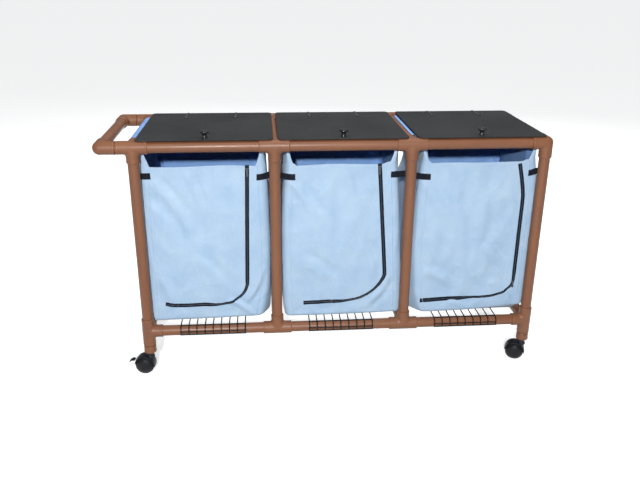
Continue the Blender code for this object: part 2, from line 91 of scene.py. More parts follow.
class Form:
    """Points and faces gathered for one piece."""

    def __init__(self):
        self.points = []
        self.faces = []

    def add(self, points, faces, place=None):
        start = len(self.points)
        for point in points:
            self.points.append(tuple(place @ Vector(point)) if place is not None else tuple(point))
        self.faces += [tuple(index + start for index in face) for face in faces]
        return self

    def turn(self, profile, sides, place=None, closed=False):
        """Adds a profile turned about +Z."""
        return self.add(*lathe(profile, sides, closed), place)

    def carry(self, path, section, place=None, **options):
        """Adds a section carried along a path."""
        return self.add(*sweep(path, section, **options), place)

    def piece(self, name, look, body, slot, stands_for, smooth, uv=None):
        """Makes the object; edges sharper than the smooth angle stay sharp."""
        mesh = bpy.data.meshes.new(name)
        mesh.from_pydata(self.points, [], self.faces)
        mesh.materials.append(LOOKS[look])
        mesh.shade_smooth()
        mesh.set_sharp_from_angle(angle=math.radians(smooth))
        if uv is not None:
            layer = mesh.uv_layers.new(name="cloth")
            corner = np.empty(len(mesh.loops), dtype=np.int32)
            mesh.loops.foreach_get("vertex_index", corner)
            layer.data.foreach_set("uv", np.asarray(uv, dtype=np.float32)[corner].ravel())
        obj = put(name, mesh)
        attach(obj, body)
        if stands_for:
            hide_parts(*stands_for)
        return obj


def circle(radius, sides):
    angles = [2 * math.pi * side / sides for side in range(sides)]
    return [(radius * math.cos(angle), radius * math.sin(angle)) for angle in angles]


def lathe(profile, sides, closed=False):
    """Points and faces turned about +Z through (radius, height); radius 0 makes a pole."""
    points = []
    rings = []
    for radius, height in profile:
        start = len(points)
        points += [(x, y, height) for x, y in (circle(radius, sides) if radius else [(0.0, 0.0)])]
        rings.append(range(start, len(points)))
    faces = []
    pairs = list(zip(rings, rings[1:]))
    if closed:
        pairs.append((rings[-1], rings[0]))
    for low, high in pairs:
        for side in range(sides):
            after = (side + 1) % sides
            if len(low) == 1:
                faces.append((low[0], high[after], high[side]))
            elif len(high) == 1:
                faces.append((low[side], low[after], high[0]))
            else:
                faces.append((low[side], low[after], high[after], high[side]))
    return points, faces


def sweep(path, section, closed=False, normal=None, scale=None):
    """A closed section of (across, up) points carried along a path; ends are capped unless it is closed."""
    path = [Vector(point) for point in path]
    count = len(path)
    tangents = []
    for index in range(count):
        if closed:
            step = path[(index + 1) % count] - path[index - 1]
        else:
            step = path[min(index + 1, count - 1)] - path[max(index - 1, 0)]
        tangents.append(step.normalized())
    up = Vector((0, 0, 1)) if normal is None or callable(normal) else Vector(normal)
    if normal is None and abs(tangents[0].dot(up)) > 0.9:
        up = Vector((0, 1, 0))
    points = []
    for index, (point, tangent) in enumerate(zip(path, tangents)):
        if callable(normal):
            up = normal(index)
        up = (up - tangent * up.dot(tangent)).normalized()
        across = tangent.cross(up)
        size = scale(index) if scale is not None else 1.0
        for a, b in section:
            points.append(tuple(point + across * (a * size) + up * (b * size)))
    width = len(section)
    faces = []
    last = count if closed else count - 1
    for index in range(last):
        here = index * width
        there = ((index + 1) % count) * width
        for corner in range(width):
            after = (corner + 1) % width
            faces.append((here + corner, here + after, there + after, there + corner))
    if not closed:
        faces.append(tuple(reversed(range(width))))
        faces.append(tuple(range((count - 1) * width, count * width)))
    return points, faces


def ellipse(across, up):
    """An eight-sided section with these half widths."""
    return [(across * math.cos(angle), up * math.sin(angle)) for angle in np.linspace(0, 2 * math.pi, 9)[:-1]]


def oval(width, height, sides, power):
    """A rounded bar section: a superellipse of the given full width and height."""
    points = []
    for side in range(sides):
        angle = 2 * math.pi * side / sides
        cosine, sine = math.cos(angle), math.sin(angle)
        points.append((
            width / 2 * math.copysign(abs(cosine) ** power, cosine),
            height / 2 * math.copysign(abs(sine) ** power, sine),
        ))
    return points


def arc(center, radius, start, end, steps):
    """Points on an arc in a plane, ends included; angles in degrees."""
    points = []
    for step in range(steps + 1):
        angle = math.radians(start + (end - start) * step / steps)
        points.append((center[0] + radius * math.cos(angle), center[1] + radius * math.sin(angle)))
    return points


def smooth_path(points, steps):
    """A Catmull-Rom curve through the points."""
    points = [Vector(point) for point in points]
    ends = [2 * points[0] - points[1], *points, 2 * points[-1] - points[-2]]
    curve = []
    for index in range(1, len(ends) - 2):
        p0, p1, p2, p3 = ends[index - 1:index + 3]
        for step in range(steps):
            t = step / steps
            curve.append(0.5 * (
                2 * p1 + (p2 - p0) * t + (2 * p0 - 5 * p1 + 4 * p2 - p3) * t * t
                + (3 * p1 - p0 - 3 * p2 + p3) * t * t * t
            ))
    curve.append(points[-1])
    return curve


def even_path(points, spacing):
    """The path again with points at an even spacing."""
    co = np.array([tuple(point) for point in points])
    steps = np.linalg.norm(np.diff(co, axis=0), axis=1)
    length = np.concatenate([[0.0], np.cumsum(steps)])
    count = max(2, int(round(length[-1] / spacing)) + 1)
    at = np.linspace(0.0, length[-1], count)
    return np.stack([np.interp(at, length, co[:, axis]) for axis in range(co.shape[1])], axis=1)


def smoothstep(value):
    value = np.clip(value, 0.0, 1.0)
    return value * value * (3 - 2 * value)


def towards(direction):
    """Rotation that takes +Z to a direction."""
    return Vector((0, 0, 1)).rotation_difference(Vector(direction)).to_matrix().to_4x4()


# ---------------------------------------------------------------- materials
class Look:
    """A Principled material and short ways to add nodes to it."""

    def __init__(self, name, roughness, metallic=0.0, specular=0.5):
        self.material = bpy.data.materials.new(name)
        self.material.use_nodes = True
        self.tree = self.material.node_tree
        self.shader = self.tree.nodes["Principled BSDF"]
        self.set("Roughness", roughness)
        self.set("Metallic", metallic)
        self.set("Specular IOR Level", specular)
        self.coordinates = self.add("ShaderNodeTexCoord")

    def set(self, socket, value):
        self.plug(self.shader.inputs[socket], value)

    def plug(self, socket, value):
        if isinstance(value, bpy.types.NodeSocket):
            self.tree.links.new(value, socket)
        elif isinstance(value, tuple) and len(value) == 3 and socket.type == "RGBA":
            socket.default_value = (*value, 1.0)
        else:
            socket.default_value = value

    def add(self, kind, inputs=None, **settings):
        node = self.tree.nodes.new(kind)
        for name, value in settings.items():
            setattr(node, name, value)
        for name, value in (inputs or {}).items():
            self.plug(node.inputs[name], value)
        return node

    def space(self, scale=(1, 1, 1)):
        """The piece's own coordinates, stretched by a scale."""
        node = self.add("ShaderNodeMapping", {"Vector": self.coordinates.outputs["Object"], "Scale": scale})
        return node.outputs["Vector"]

    def noise(self, scale, detail=3.0, roughness=0.55, where=None, distortion=0.0):
        inputs = {
            "Vector": where if where is not None else self.space(),
            "Scale": scale, "Detail": detail, "Roughness": roughness, "Distortion": distortion,
        }
        return self.add("ShaderNodeTexNoise", inputs).outputs["Fac"]

    def ramp(self, value, low, high):
        """Remaps a value between two (position, result) stops."""
        node = self.add("ShaderNodeMapRange", {
            "Value": value, "From Min": low[0], "From Max": high[0], "To Min": low[1], "To Max": high[1],
        })
        return node.outputs["Result"]

    def multiply(self, a, b):
        return self.add("ShaderNodeMath", {0: a, 1: b}, operation="MULTIPLY").outputs["Value"]

    def mix(self, factor, a, b):
        node = self.add("ShaderNodeMix", data_type="RGBA")
        self.plug(node.inputs["Factor"], factor)
        self.plug(node.inputs[6], a)
        self.plug(node.inputs[7], b)
        return node.outputs[2]

    def blend(self, value, low, high, dark, light):
        """Mixes two colours by a value remapped between two stops."""
        return self.mix(self.ramp(value, low, high), dark, light)

    def wave(self, where, scale, distortion, detail, direction):
        """Parallel bands, for threads and ribs."""
        inputs = {"Vector": where, "Scale": scale, "Distortion": distortion, "Detail": detail}
        node = self.add("ShaderNodeTexWave", inputs, wave_type="BANDS", bands_direction=direction)
        return node.outputs["Fac"]

    def bump(self, height, distance, strength=1.0, before=None):
        inputs = {"Height": height, "Distance": distance, "Strength": strength}
        if before is not None:
            inputs["Normal"] = before
        return self.add("ShaderNodeBump", inputs).outputs["Normal"]


def pipe_look(name, stretch):
    """Wood-tone pipe: streaks run along it, and the moulded skin has a faint orange peel."""
    look = Look(name, roughness=0.40, specular=0.45)
    streaks = look.noise(26.0, 5.0, 0.6, look.space(stretch), 0.4)
    mottle = look.noise(7.0, 3.0, 0.5)
    tone = look.blend(streaks, (0.30, 0.0), (0.72, 1.0), (0.172, 0.064, 0.028), (0.232, 0.094, 0.044))
    warm = look.blend(mottle, (0.38, 0.0), (0.66, 0.35), tone, (0.262, 0.102, 0.042))
    scuffs = look.noise(90.0, 2.0, 0.7, look.space())
    worn = look.blend(scuffs, (0.66, 0.0), (0.80, 0.25), warm, (0.33, 0.19, 0.125))
    look.set("Base Color", worn)
    look.set("Roughness", look.ramp(mottle, (0.3, 0.34), (0.7, 0.48)))
    peel = look.noise(420.0, 2.0)
    look.set("Normal", look.bump(peel, 0.0002, 0.35, look.bump(streaks, 0.0004, 0.25)))
    return look.material


def lid_look():
    """Charcoal sheet with a fine pebble grain and slow waves in its gloss."""
    look = Look("lid_sheet", roughness=0.52, specular=0.20)
    grain = look.add("ShaderNodeTexVoronoi", {"Vector": look.space(), "Scale": 620.0}).outputs["Distance"]
    slow = look.noise(4.5, 2.0)
    dust = look.noise(210.0, 4.0, 0.75)
    tone = look.blend(slow, (0.3, 0.0), (0.7, 1.0), (0.022, 0.023, 0.024), (0.033, 0.0345, 0.037))
    specks = look.blend(dust, (0.60, 0.0), (0.78, 0.30), tone, (0.10, 0.105, 0.11))
    look.set("Base Color", specks)
    look.set("Roughness", look.ramp(dust, (0.3, 0.46), (0.7, 0.60)))
    look.set("Normal", look.bump(grain, 0.0004, 0.35, look.bump(slow, 0.010, 0.12)))
    return look.material


def cloth_look():
    """Pale blue coated cloth: a fine plain weave with painted shade between its threads, faint crumple marks
    with painted highlights along them, and a soft sheen.
    """
    look = Look("bag_cloth", roughness=0.50, specular=0.40)
    uv = look.coordinates.outputs["UV"]
    weave = look.multiply(*[look.wave(uv, 190.0, 0.6, 1.0, direction) for direction in ("X", "Y")])
    cloud = look.noise(9.0, 4.0, 0.6)
    crumple = look.noise(38.0, 5.0, 0.62, None, 0.8)
    tone = look.blend(cloud, (0.32, 0.0), (0.68, 1.0), (0.385, 0.555, 0.760), (0.470, 0.625, 0.795))
    # Painted highlights: the cloth is lighter where the crumple marks rise.
    crumple_painted_highlight = look.blend(crumple, (0.52, 0.0), (0.74, 0.30), tone, (0.58, 0.72, 0.85))
    # Painted shade: the cloth is darker in the gaps between the threads of the weave.
    weave_painted_shade = look.blend(weave, (0.0, 0.10), (1.0, 0.0), crumple_painted_highlight, (0.27, 0.42, 0.64))
    look.set("Base Color", weave_painted_shade)
    look.set("Roughness", look.ramp(cloud, (0.3, 0.42), (0.7, 0.56)))
    look.set("Sheen Weight", 0.15)
    look.set("Sheen Roughness", 0.4)
    look.set("Normal", look.bump(weave, 0.0003, 0.35, look.bump(crumple, 0.0030, 0.60)))
    return look.material


def lining_look():
    """The uncoated inner side of the cloth: a deeper blue, partly its own colour and partly painted shade for
    the insides of the bags.
    """
    look = Look("bag_lining_painted_shade", roughness=0.75, specular=0.2)
    cloud = look.noise(11.0, 4.0, 0.6)
    fuzz = look.noise(520.0, 2.0)
    # Painted shade: both blues are darker than the outer cloth, standing in for the shade inside the bags.
    tone = look.blend(cloud, (0.3, 0.0), (0.7, 1.0), (0.200, 0.370, 0.730), (0.250, 0.430, 0.780))
    look.set("Base Color", tone)
    look.set("Roughness", look.ramp(fuzz, (0.3, 0.68), (0.7, 0.84)))
    look.set("Normal", look.bump(fuzz, 0.0002, 0.4, look.bump(cloud, 0.006, 0.3)))
    return look.material


def woven_look(name, color, light, pitch):
    """Narrow woven tape with slanting ribs."""
    look = Look(name, roughness=0.90, specular=0.06)
    rib = look.wave(look.space(), pitch, 1.2, 2.0, "DIAGONAL")
    fuzz = look.noise(700.0, 3.0)
    look.set("Base Color", look.mix(look.multiply(rib, fuzz), color, light))
    look.set("Roughness", look.ramp(fuzz, (0.3, 0.78), (0.7, 0.94)))
    look.set("Normal", look.bump(rib, 0.0005, 0.5, look.bump(fuzz, 0.0002, 0.4)))
    return look.material


def moulded_look(name, color, light, roughness, grain=300.0, specular=0.5):
    """Moulded plastic: a spark-eroded grain, dust in patches and uneven gloss."""
    look = Look(name, roughness=roughness, specular=specular)
    patches = look.noise(34.0, 4.0, 0.6)
    fine = look.noise(grain, 2.0)
    look.set("Base Color", look.blend(patches, (0.35, 0.0), (0.75, 1.0), color, light))
    look.set("Roughness", look.ramp(patches, (0.3, roughness - 0.06), (0.7, roughness + 0.10)))
    look.set("Normal", look.bump(fine, 0.0002, 0.3))
    return look.material


def metal_look(name, color, roughness):
    """Plated steel with fine brushing."""
    look = Look(name, roughness=roughness, metallic=1.0)
    brushed = look.noise(260.0, 3.0, 0.6, look.space((1, 1, 0.15)))
    look.set("Base Color", look.mix(brushed, color, tuple(min(1.0, 1.5 * part) for part in color)))
    look.set("Roughness", look.ramp(brushed, (0.3, roughness - 0.05), (0.7, roughness + 0.12)))
    look.set("Normal", look.bump(brushed, 0.0001, 0.3))
    return look.material


LOOKS = {
    "pipe_x": pipe_look("pipe_along_x", (0.05, 1, 1)),
    "pipe_y": pipe_look("pipe_along_y", (1, 0.05, 1)),
    "pipe_z": pipe_look("pipe_along_z", (1, 1, 0.05)),
    "fitting": pipe_look("pipe_fitting", (0.45, 0.45, 0.45)),
    "lid": lid_look(),
    "cloth": cloth_look(),
    "lining": lining_look(),
    "thread": moulded_look("bag_thread", (0.52, 0.66, 0.84), (0.62, 0.74, 0.88), 0.60),
    "webbing": woven_look("webbing_black", (0.008, 0.010, 0.016), (0.030, 0.034, 0.046), 260.0),
    "tape": woven_look("zip_tape_navy", (0.006, 0.010, 0.022), (0.018, 0.028, 0.052), 420.0),
    "coil": moulded_look("zip_coil", (0.008, 0.010, 0.018), (0.020, 0.026, 0.042), 0.35),
    "wire": moulded_look("wire_coating", (0.005, 0.005, 0.006), (0.014, 0.013, 0.013), 0.44, specular=0.22),
    "knob": moulded_look("knob_plastic", (0.006, 0.006, 0.007), (0.020, 0.020, 0.022), 0.24, 240.0),
    "tie": moulded_look("tie_nylon", (0.028, 0.028, 0.030), (0.060, 0.061, 0.064), 0.38),
    "hood": moulded_look("hood_plastic", (0.007, 0.008, 0.012), (0.015, 0.018, 0.027), 0.34, specular=0.28),
    "wheel": moulded_look("wheel_plastic", (0.006, 0.006, 0.008), (0.014, 0.015, 0.021), 0.42, specular=0.22),
    "tread": moulded_look("tread_rubber", (0.008, 0.008, 0.009), (0.022, 0.021, 0.021), 0.68, 180.0, 0.2),
    "steel": metal_look("zinc_plate", (0.42, 0.43, 0.44), 0.28),
    "dark_metal": metal_look("dark_zipper_metal", (0.060, 0.062, 0.068), 0.30),
}


# ---------------------------------------------------------------- pipes and fittings
def tube_between(form, start, end):
    """A length of pipe with its bore."""
    start, end = Vector(start), Vector(end)
    length = (end - start).length
    bore = PIPE_R - PIPE_WALL
    edge = 0.0006
    face_r = PIPE_R - edge
    outside = [(face_r, 0), (PIPE_R, edge), (PIPE_R, length - edge), (face_r, length)]
    place = Matrix.Translation(start) @ towards(end - start)
    form.turn([(bore, 0), *outside, (bore, length)], 48, place, closed=True)


def blended_arms(points, arms):
    """Distance to cylinders along the arms from the origin, blended with a small fillet."""
    reaches = [points @ arm for arm in arms]
    nears = [
        np.linalg.norm(points - np.clip(reach, 0.0, None)[:, None] * arm, axis=1) - FITTING_R
        for reach, arm in zip(reaches, arms)
    ]
    distance = np.minimum.reduce(nears)
    for first in range(len(arms)):
        for second in range(first):
            inner = smoothstep(np.minimum(reaches[first], reaches[second]) / FITTING_R)
            fillet = 0.0005 + FILLET * inner
            gap = np.abs(nears[first] - nears[second])
            dip = np.clip(fillet - gap, 0.0, None) ** 2 / (4 * fillet) * (inner > 0)
            distance = np.minimum(distance, np.minimum(nears[first], nears[second]) - dip)
    return distance


FITTINGS = {}


def fitting_mesh(arms):
    """A socket fitting about the origin: its arms flow into each other, with a stepped mouth on each."""
    if arms in FITTINGS:
        return FITTINGS[arms]
    blank = Form()
    cut = FITTING_REACH - MOUTH_LENGTH
    for arm in arms:
        end = cut + 0.008
        nose = [(0, -FITTING_R * 0.7), (FITTING_R * 0.8, -FITTING_R * 0.5)]
        blank.turn([*nose, (FITTING_R, 0), (FITTING_R, end), (0, end)], 32, towards(arm))
    mesh = bpy.data.meshes.new("blank")
    mesh.from_pydata(blank.points, [], blank.faces)
    obj = put("blank", mesh)
    remesh = obj.modifiers.new("remesh", "REMESH")
    remesh.mode = "VOXEL"
    remesh.voxel_size = 0.0030
    graph = bpy.context.evaluated_depsgraph_get()
    made = bpy.data.meshes.new_from_object(obj.evaluated_get(graph))
    co = np.empty(len(made.vertices) * 3)
    made.vertices.foreach_get("co", co)
    co = co.reshape(-1, 3)
    # Newton steps draw the voxel skin onto the blended surface.
    directions = [np.array(arm, float) for arm in arms]
    step = 1e-5
    for _ in range(6):
        here = blended_arms(co, directions)
        slope = np.stack([
            (blended_arms(co + np.eye(3)[axis] * step, directions) - here) / step for axis in range(3)
        ], axis=1)
        size = np.maximum((slope * slope).sum(axis=1), 0.25)
        move = slope * (here / size)[:, None]
        reach = np.linalg.norm(move, axis=1, keepdims=True)
        co = co - move * np.minimum(1.0, 0.004 / np.maximum(reach, 1e-9))
    made.vertices.foreach_set("co", co.ravel())
    bm = bmesh.new()
    bm.from_mesh(made)
    for arm in arms:
        geometry = list(bm.verts) + list(bm.edges) + list(bm.faces)
        bmesh.ops.bisect_plane(
            bm, geom=geometry, dist=1e-6, plane_co=Vector(arm) * cut, plane_no=Vector(arm), clear_outer=True
        )
    bm.verts.index_update()
    faces = [[vert.index for vert in face.verts] for face in bm.faces]
    whole = Form().add([vert.co.copy() for vert in bm.verts], faces)
    bm.free()
    bpy.data.objects.remove(obj)
    lip = 0.0013
    rim = FITTING_R + 0.0003
    mouth = [
        (FITTING_R, cut - 0.0004), (FITTING_R, cut + 0.001), (rim, cut + 0.0022), (rim, FITTING_REACH - lip),
        (rim - 0.4 * lip, FITTING_REACH - 0.3 * lip), (rim - lip, FITTING_REACH),
        (PIPE_R + 0.0011, FITTING_REACH), (PIPE_R + SOCKET_EASE, FITTING_REACH - 0.0010),
        (PIPE_R + SOCKET_EASE, FITTING_REACH - 0.006),
    ]
    for arm in arms:
        whole.turn(mouth, 56, towards(arm))
    FITTINGS[arms] = whole
    return whole


def add_rail(side, level):
    """One long rail: its fittings in one piece and its pipe lengths in another."""
    y = RAIL_AT[side]
    inward = (0, 1, 0) if side == "front" else (0, -1, 0)
    z = TOP_Z if level == "top" else BOTTOM_Z
    stops = [HANDLE_X, *LEG_X] if level == "top" else list(LEG_X)
    leg_arm = (0, 0, -1) if level == "top" else (0, 0, 1)
    node = f"{level}_{side}_rail"
    fittings = Form()
    for index, x in enumerate(stops):
        arms = [inward]
        if index > 0:
            arms.append((-1, 0, 0))
        if index < len(stops) - 1:
            arms.append((1, 0, 0))
        if x in LEG_X:
            arms.append(leg_arm)
        if level == "bottom" and x in (LEG_X[0], LEG_X[-1]):
            arms.append((0, 0, -1))
        whole = fitting_mesh(tuple(arms))
        fittings.add(whole.points, whole.faces, Matrix.Translation((x, y, z)))
    fittings.piece(f"{node}_fittings", "fitting", "frame", "pipe", (node,), 40)
    runs = Form()
    inset = FITTING_REACH - 0.012
    for left, right in zip(stops, stops[1:]):
        tube_between(runs, (left + inset, y, z), (right - inset, y, z))
    runs.piece(f"{node}_pipes", "pipe_x", "frame", "pipe", (node,), 40)


def add_feet(side):
    """The pipe stub under each outer corner and the flared cap that holds its caster."""
    y = RAIL_AT[side]
    stubs, caps = Form(), Form()
    rim, stem_r = FITTING_R, 0.0062
    top, socket_floor = FOOT_Z + CAP_HEIGHT, FOOT_Z + 0.012
    profile = [
        (stem_r, FOOT_Z), (rim - 0.0038, FOOT_Z), (rim - 0.0014, FOOT_Z + 0.0008), (rim, FOOT_Z + 0.0030),
        (rim + 0.0001, FOOT_Z + 0.0080), (rim - 0.0008, FOOT_Z + 0.0110), (rim - 0.0010, top - 0.0030),
        (rim - 0.0016, top - 0.0010), (rim - 0.0028, top), (PIPE_R + SOCKET_EASE, top),
        (PIPE_R + SOCKET_EASE, socket_floor), (stem_r, socket_floor),
    ]
    for x in (LEG_X[0], LEG_X[-1]):
        tube_between(stubs, (x, y, FOOT_Z + 0.004), (x, y, BOTTOM_Z - 0.040))
        caps.turn(profile, 56, Matrix.Translation((x, y, 0)), closed=True)
    node = f"bottom_{side}_rail"
    stubs.piece(f"{node}_stubs", "pipe_z", "frame", "pipe", (node,), 40)
    caps.piece(f"{node}_caster_caps", "fitting", "frame", "pipe", (node,), 40)


def add_pipes():
    """Legs, cross pipes and the handle, each as long as its CAD node."""
    nodes = [f"{side}_leg_{index}" for side in ("front", "back") for index in (1, 2, 3, 4)]
    nodes += [f"{level}_cross_pipe_{index}" for level in ("top", "bottom") for index in (1, 2, 3, 4)]
    nodes.append("handle_bar")
    for node in nodes:
        low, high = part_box(node)
        middle = (low + high) / 2
        form = Form()
        if "leg" in node:
            tube_between(form, (middle.x, middle.y, low.z), (middle.x, middle.y, high.z))
            look = "pipe_z"
        else:
            tube_between(form, (middle.x, low.y, middle.z), (middle.x, high.y, middle.z))
            look = "pipe_y"
        form.piece(f"{node}_pipe", look, "frame", "pipe", (node,), 40)


# ---------------------------------------------------------------- lids
# Profiles of (radius, height) in tenths of a millimetre.
KNOB = tenths([
    (0, 0), (112, 0), (110, 12), (98, 30), (88, 55), (83, 90), (86, 125), (104, 158), (136, 182), (160, 194),
    (168, 208), (170, 224), (167, 238), (156, 250), (135, 262), (105, 270), (68, 274), (62, 268), (30, 266),
    (0, 266),
])
SCREW = tenths([(0, -22), (24, -21), (42, -14), (48, -4), (48, 0), (85, 0), (87, 4), (85, 8), (0, 8)])
LID_CORNER = 0.015


def lid_sheet(loops, low_z, high_z):
    """Points and faces of a flat sheet from its outline and its slots, all counter-clockwise."""
    bm = bmesh.new()
    edges = []
    for loop in loops:
        corners = [bm.verts.new((x, y, low_z)) for x, y in loop]
        edges += [bm.edges.new(pair) for pair in zip(corners, corners[1:] + corners[:1])]
    bmesh.ops.triangle_fill(bm, edges=edges, use_beauty=True, use_dissolve=False)
    bm.verts.index_update()
    # The fill gives its triangles in an order that changes from run to run.
    triangles = sorted(sorted(vert.index for vert in face.verts) for face in bm.faces)
    bm.free()
    flat = [point for loop in loops for point in loop]
    count = len(flat)
    points = [(x, y, z) for z in (low_z, high_z) for x, y in flat]
    faces = []
    for a, b, c in triangles:
        (ax, ay), (bx, by), (cx, cy) = flat[a], flat[b], flat[c]
        if (bx - ax) * (cy - ay) < (by - ay) * (cx - ax):
            b, c = c, b
        faces += [(a + count, b + count, c + count), (c, b, a)]
    start = 0
    for loop in loops:
        for index in range(len(loop)):
            here, then = start + index, start + (index + 1) % len(loop)
            if loop is not loops[0]:
                here, then = then, here
            faces.append((here, then, then + count, here + count))
        start += len(loop)
    return points, faces


def add_lid(number):
    """The lid sheet, its knob with a screw under it, and its two hinge ties."""
    body = f"lid_{number}"
    low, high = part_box(f"lid_{number}")
    tie_boxes = [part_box(f"hinge_tie_{number}_{side}") for side in ("left", "right")]
    left, right = low.x + LID_CORNER, high.x - LID_CORNER
    front, back = low.y + LID_CORNER, high.y - LID_CORNER
    outline = []
    for index, corner in enumerate(((right, back), (left, back), (left, front), (right, front))):
        outline += arc(corner, LID_CORNER, 90 * index, 90 * index + 90, 8)
    loops = [outline]
    for box_low, box_high in tie_boxes:
        x0, x1 = box_low.x - 0.0007, box_high.x + 0.0007
        y0, y1 = box_low.y - 0.0006, box_low.y + 0.0026
        loops.append([(x0, y0), (x1, y0), (x1, y1), (x0, y1)])
    form = Form().add(*lid_sheet(loops, low.z, high.z))
    sheet = form.piece(f"lid_{number}_sheet", "lid", body, "lid", (f"lid_{number}",), 60)
    bevel = sheet.modifiers.new("edge", "BEVEL")
    bevel.width = 0.0008
    bevel.segments = 3
    bevel.limit_method = "ANGLE"
    bevel.angle_limit = math.radians(50)

    knob_low, knob_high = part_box(f"lid_knob_{number}")
    place = Matrix.Translation(((knob_low.x + knob_high.x) / 2, (knob_low.y + knob_high.y) / 2, knob_low.z))
    knob = Form().turn(KNOB, 64, place)
    knob.piece(f"lid_{number}_knob", "knob", body, "knob", (f"lid_knob_{number}",), 38)
    under = Matrix.Translation((place.translation.x, place.translation.y, low.z - 0.0009))
    Form().turn(SCREW, 32, under).piece(f"lid_{number}_knob_screw", "steel", body, "wire", (), 30)

    for side, (box_low, box_high) in zip(("left", "right"), tie_boxes):
        add_tie(number, side, box_low, box_high)


def add_tie(number, side, box_low, box_high):
    """A nylon band from its slot in the lid round the back rail, with ribs and a small head."""
    node = f"hinge_tie_{number}_{side}"
    x = (box_low.x + box_high.x) / 2
    width = box_high.x - box_low.x
    thick = 0.0014
    top = LID_HIGH_Z + 0.0003 + thick / 2
    slot_y = box_low.y + thick / 2 + 0.0002
    under = LID_LOW_Z - 0.0030
    wrap = PIPE_R + 0.0013 + thick / 2
    # Where the upper run ends, where the wrap begins and where the lower run begins, along Y.
    above, wrap_start, below = 0.245, 0.2475, 0.235
    outline = [(slot_y + 0.0005, under), (slot_y, under + 0.0015)]
    outline += [(slot_y, top - 0.0012), (slot_y + 0.0012, top)]
    for share in (0.15, 0.3, 0.45, 0.6, 0.75, 0.9):
        outline.append((slot_y + (above - slot_y) * share, top + 0.0004 * math.sin(math.pi * share)))
    outline += [(wrap_start, top), *arc((RAIL_Y, TOP_Z), wrap, 60, -112, 26)]
    for share in (0.85, 0.65, 0.45, 0.25, 0.1):
        outline.append((slot_y + (below - slot_y) * share, under - 0.0170 * share ** 2.0))
    path = even_path([(x, y, z) for y, z in outline] + [(x, outline[0][0], outline[0][1])], 0.0022)[:-1]
    inside = Vector((x, 0.195, TOP_Z + 0.010))
    ups = [(Vector(point) - inside).normalized() for point in path]
    form = Form().carry(
        path, oval(width - 0.0004, thick, 12, 0.35), closed=True, normal=lambda index: ups[index],
        scale=lambda index: 1.0 if index % 2 else 0.94)
    y0 = slot_y - 0.0016
    shares = (0.0, 0.08, 0.5, 0.92, 1.0)
    sizes = (0.82, 1.0, 1.0, 1.0, 0.82)
    path = [(x, y0 + share * 0.0105, top + 0.0016 - 0.0008 * share) for share in shares]
    head = oval(width + 0.0030, 0.0046, 16, 0.4)
    form.carry(path, head, normal=(0, 0, 1), scale=lambda index: sizes[index])
    form.piece(f"{node}_band", "tie", f"lid_{number}", "tie", (node,), 45)


# ---------------------------------------------------------------- wire racks
def add_rack(number):
    """Nine coated wires that run back over the rails, with cross wires welded under them."""
    node = f"wire_rack_{number}"
    low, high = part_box(node)
    radius = 0.0025
    bed_z = high.z - radius
    hem_z = low.z + radius
    count = 9
    wire_x = [low.x + radius + (high.x - low.x - 2 * radius) * index / (count - 1) for index in range(count)]
    wrap = PIPE_R + radius + 0.0004
    front = -RAIL_Y - wrap
    profile = [(front, hem_z), (front, BOTTOM_Z - 0.002), *arc((-RAIL_Y, BOTTOM_Z), wrap, 175, 92, 10)]
    profile += [(-0.20, bed_z), (0.0, bed_z), (0.2, bed_z), (high.y, bed_z)]
    form = Form()
    for index, x in enumerate(wire_x):
        sway = 0.0006 * math.sin(2.1 * index + number)
        form.carry([(x + sway, y, min(z, bed_z)) for y, z in profile], circle(radius, 10), normal=(1, 0, 0))
    cross = [(front, hem_z), (front, hem_z + 0.0124)]
    cross += [(y, bed_z) for y in (-0.254, -0.127, 0.0, 0.127, 0.254)]
    for y, z in cross:
        path = [(x, y, z) for x in (low.x, low.x + 0.0004, high.x - 0.0004, high.x)]
        form.carry(path, circle(radius * 0.98, 10), normal=(0, 0, 1))
    form.piece(f"{node}_wires", "wire", "frame", "wire", (node,), 50)


# ---------------------------------------------------------------- casters
# Profiles of (radius, height) in tenths of a millimetre, about the axle or about the stem.
DISC = tenths([
    (0, 68), (40, 68), (300, 68), (335, 78), (345, 100), (345, 170), (338, 195), (322, 222), (300, 246),
    (272, 266), (266, 264), (262, 260), (256, 270), (220, 289), (170, 302), (120, 307), (114, 300),
    (106, 300), (100, 309), (55, 310), (0, 310),
])
TREAD = tenths([
    (340, 92), (360, 88), (370, 96), (374, 112), (375, 130), (368, 134), (368, 140), (375, 144), (374, 164),
    (366, 184), (352, 198), (340, 198),
])
AXLE = tenths([(0, -300), (38, -300), (40, -290), (40, 290), (38, 300), (0, 300)])
BOSS = tenths([
    (0, 700), (165, 700), (160, 785), (140, 822), (134, 860), (134, 925), (128, 940), (112, 944), (0, 944),
])
STEM = tenths([
    (0, 930), (54, 930), (55, 940), (55, 1280), (48, 1290), (48, 1310), (55, 1320), (55, 1355), (45, 1370),
    (0, 1370),
])

# The hood's crown: (across, radius) in tenths of a millimetre, carried over the wheels between two angles.
CROWN = tenths([
    (-225, 388), (-226, 398), (-215, 410), (-170, 418), (-85, 422), (0, 423), (85, 422), (170, 418),
    (215, 410), (226, 398), (225, 388), (160, 393), (0, 395), (-160, 393),
])
CROWN_START = 5
CROWN_END = 190
CROWN_STEPS = 44
WEB_HALF = 0.0058

# The brake lever: (forward, up) in tenths of a millimetre from its root, which is on the crown.
LEVER = tenths([(-12, 0), (30, 7), (80, 14), (130, 2), (180, -32), (232, -74)])
LEVER_ROOT_R = 0.0451
LEVER_ANGLE = math.radians(24)


def caster_place(label):
    """Swivel frame of a caster, with +X from its leg towards the wheels, and its trail and hub height."""
    hub = centre(f"caster_wheels_{label}")
    leg_x = LEG_X[0] if "left" in label else LEG_X[-1]
    leg_y = RAIL_AT[label.split("_")[0]]
    yaw = math.atan2(hub.y - leg_y, hub.x - leg_x)
    trail = math.hypot(hub.y - leg_y, hub.x - leg_x)
    return Matrix.Translation((leg_x, leg_y, 0)) @ Matrix.Rotation(yaw, 4, "Z"), trail, hub.z


